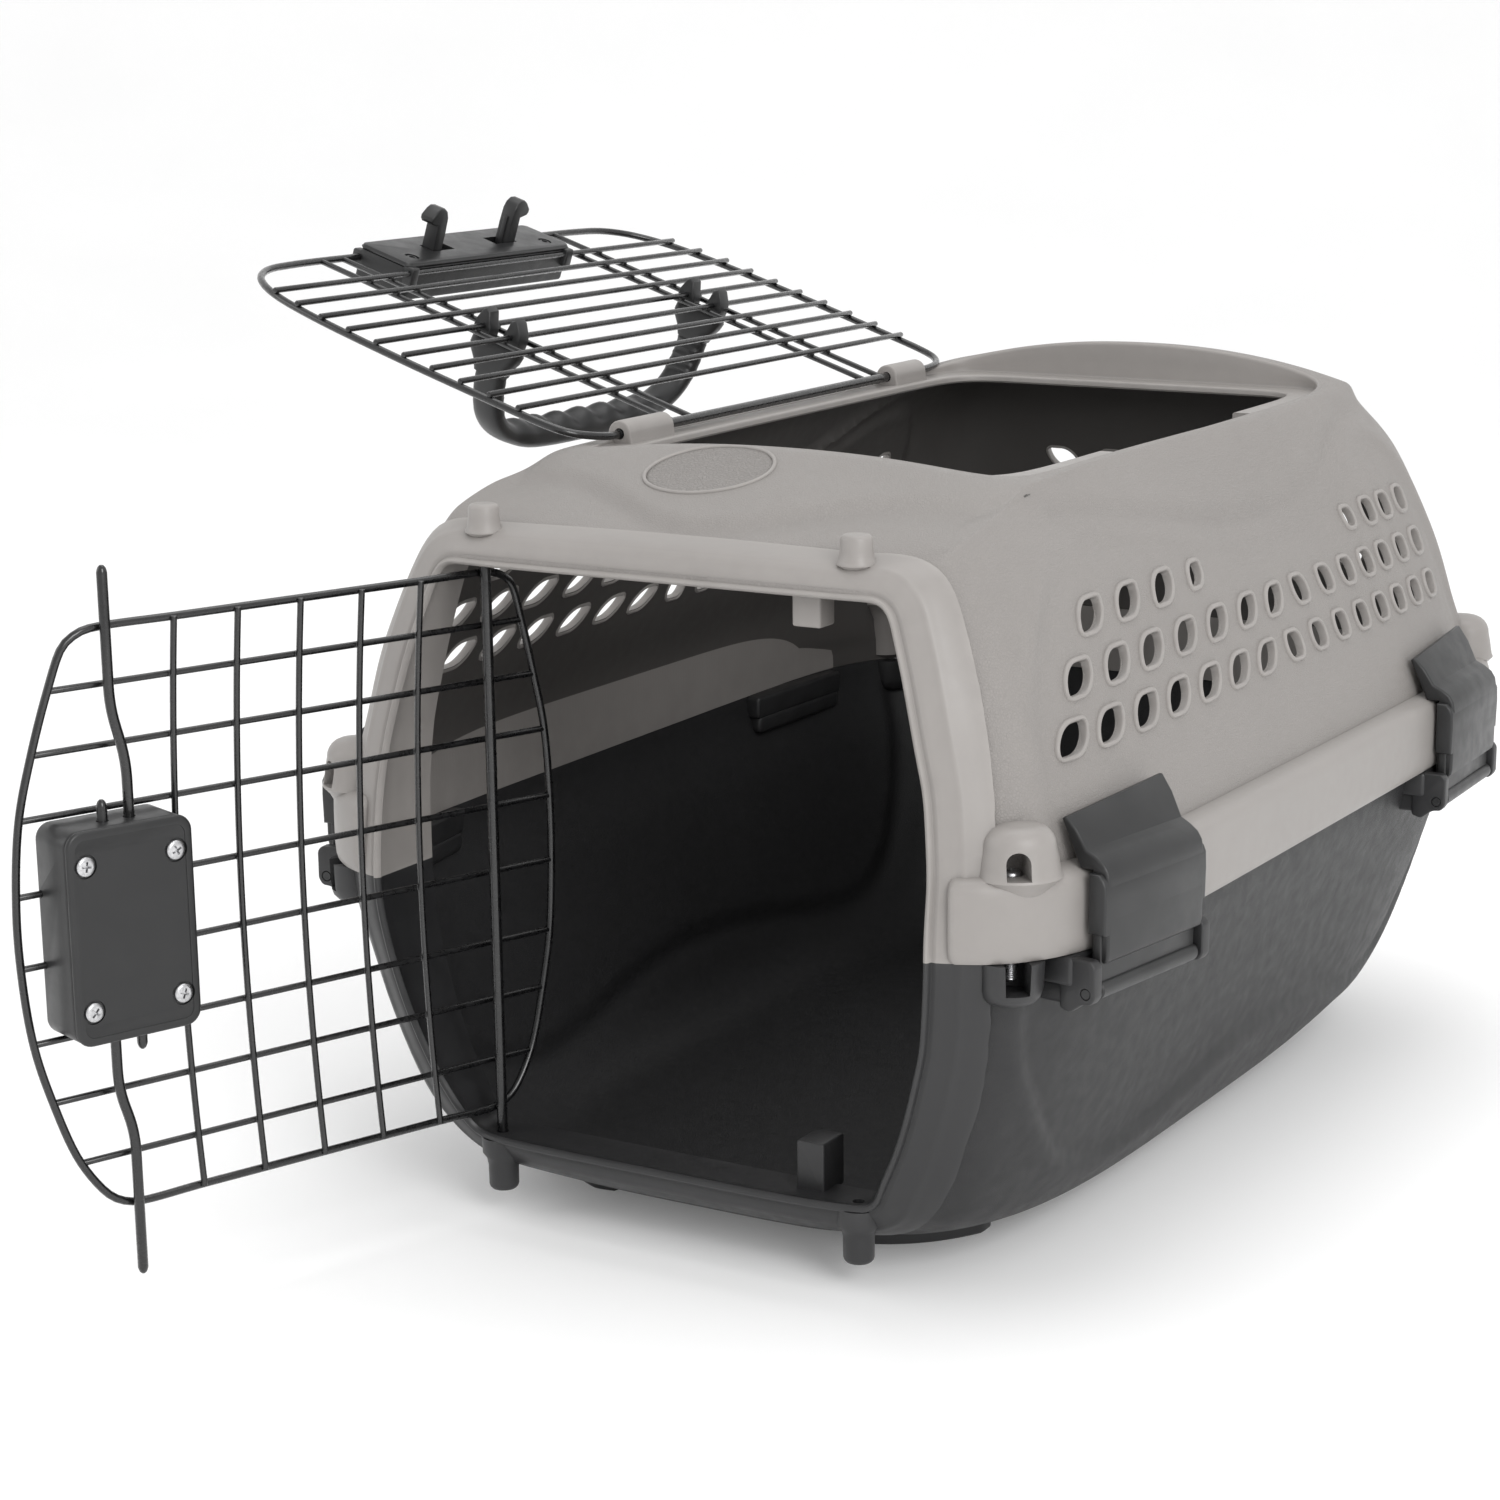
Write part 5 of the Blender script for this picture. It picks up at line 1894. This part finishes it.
# ------------------------------------------------------------------ stage, light, camera
def studio():
    # floor that turns up into a backdrop well behind the carrier
    az = math.radians(30.54)
    fw, rt = A(-math.sin(az), math.cos(az), 0), A(math.cos(az), math.sin(az), 0)
    prof = [(-7000, 0), (-2000, 0), (0, 0), (2600, 0)]
    for k in range(1, 25):
        t = k / 24 * math.pi / 2
        prof.append((2600 + 2200 * math.sin(t), 2200 * (1 - math.cos(t))))
    prof.append((4800, 7000))
    v = [fw * d + rt * s + A(0, 0, z) for d, z in prof for s in (-9000, -3000, 3000, 9000)]
    fl = make("floor", v, grid_faces(len(prof), 4, flip=True).tolist())

    def pale(nt, bs, co):
        n = nd(nt, "ShaderNodeTexNoise", Scale=3.0, Detail=2.0)
        nt.links.new(co, n.inputs["Vector"])
        r = ramp(nt, n.outputs[0], [(0.3, (0.90, 0.90, 0.90)), (0.7, (0.92, 0.92, 0.92))])
        nt.links.new(r.outputs[0], bs.inputs["Base Color"])
        bs.inputs["Roughness"].default_value = 0.7
        bs.inputs["Emission Color"].default_value = (1, 1, 1, 1)
        bs.inputs["Emission Strength"].default_value = 0.10
    fl.data.materials.append(node_mat("pale_floor", pale))
    w = bpy.data.worlds.new("studio")
    bpy.context.scene.world = w
    w.use_nodes = True
    bg = w.node_tree.nodes["Background"]
    bg.inputs[0].default_value = (1, 1, 1, 1)
    bg.inputs[1].default_value = 0.85

    def area(name, loc, aim, size, power, sy=None):
        l = bpy.data.lights.new(name, "AREA")
        l.energy = power
        l.size = size
        if sy:
            l.shape, l.size_y = "RECTANGLE", sy
        o = bpy.data.objects.new(name, l)
        bpy.context.scene.collection.objects.link(o)
        o.location = loc
        o.rotation_euler = (Vector(aim) - Vector(loc)).to_track_quat("-Z", "Y").to_euler()
        return o
    area("key_top", (0.1, 0.3, 2.6), (0, 0, 0.15), 2.0, 18, 1.8)
    area("side_right", (2.1, -1.5, 1.5), (0, 0, 0.2), 1.3, 34, 1.5)
    area("side_left", (-2.2, -1.6, 1.3), (0, -0.1, 0.2), 1.4, 8, 1.4)
    cam = bpy.data.cameras.new("camera")
    oc = bpy.data.objects.new("camera", cam)
    bpy.context.scene.collection.objects.link(oc)
    a, e, r = math.radians(30.54), math.radians(13.89), -0.00997
    right = A(math.cos(a), math.sin(a), 0)
    back = A(math.sin(a) * math.cos(e), -math.cos(a) * math.cos(e), math.sin(e))
    up = np.cross(back, right)
    cr, sr = math.cos(r), math.sin(r)
    rr, uu = cr * right + sr * up, -sr * right + cr * up
    R = Matrix((rr, uu, back)).transposed()
    oc.matrix_world = Matrix.Translation(A(742.37, -1437.57, 550.51) * MM) @ R.to_4x4()
    cam.sensor_fit = "HORIZONTAL"
    cam.sensor_width = 36.0
    cam.lens = 77.72
    cam.shift_x, cam.shift_y = -0.01356, 0.0359
    cam.clip_start, cam.clip_end = 0.05, 50
    bpy.context.scene.camera = oc
    vs = bpy.context.scene.view_settings
    vs.view_transform = "Standard"
    vs.look = "None"
    vs.exposure = 0.0


studio()
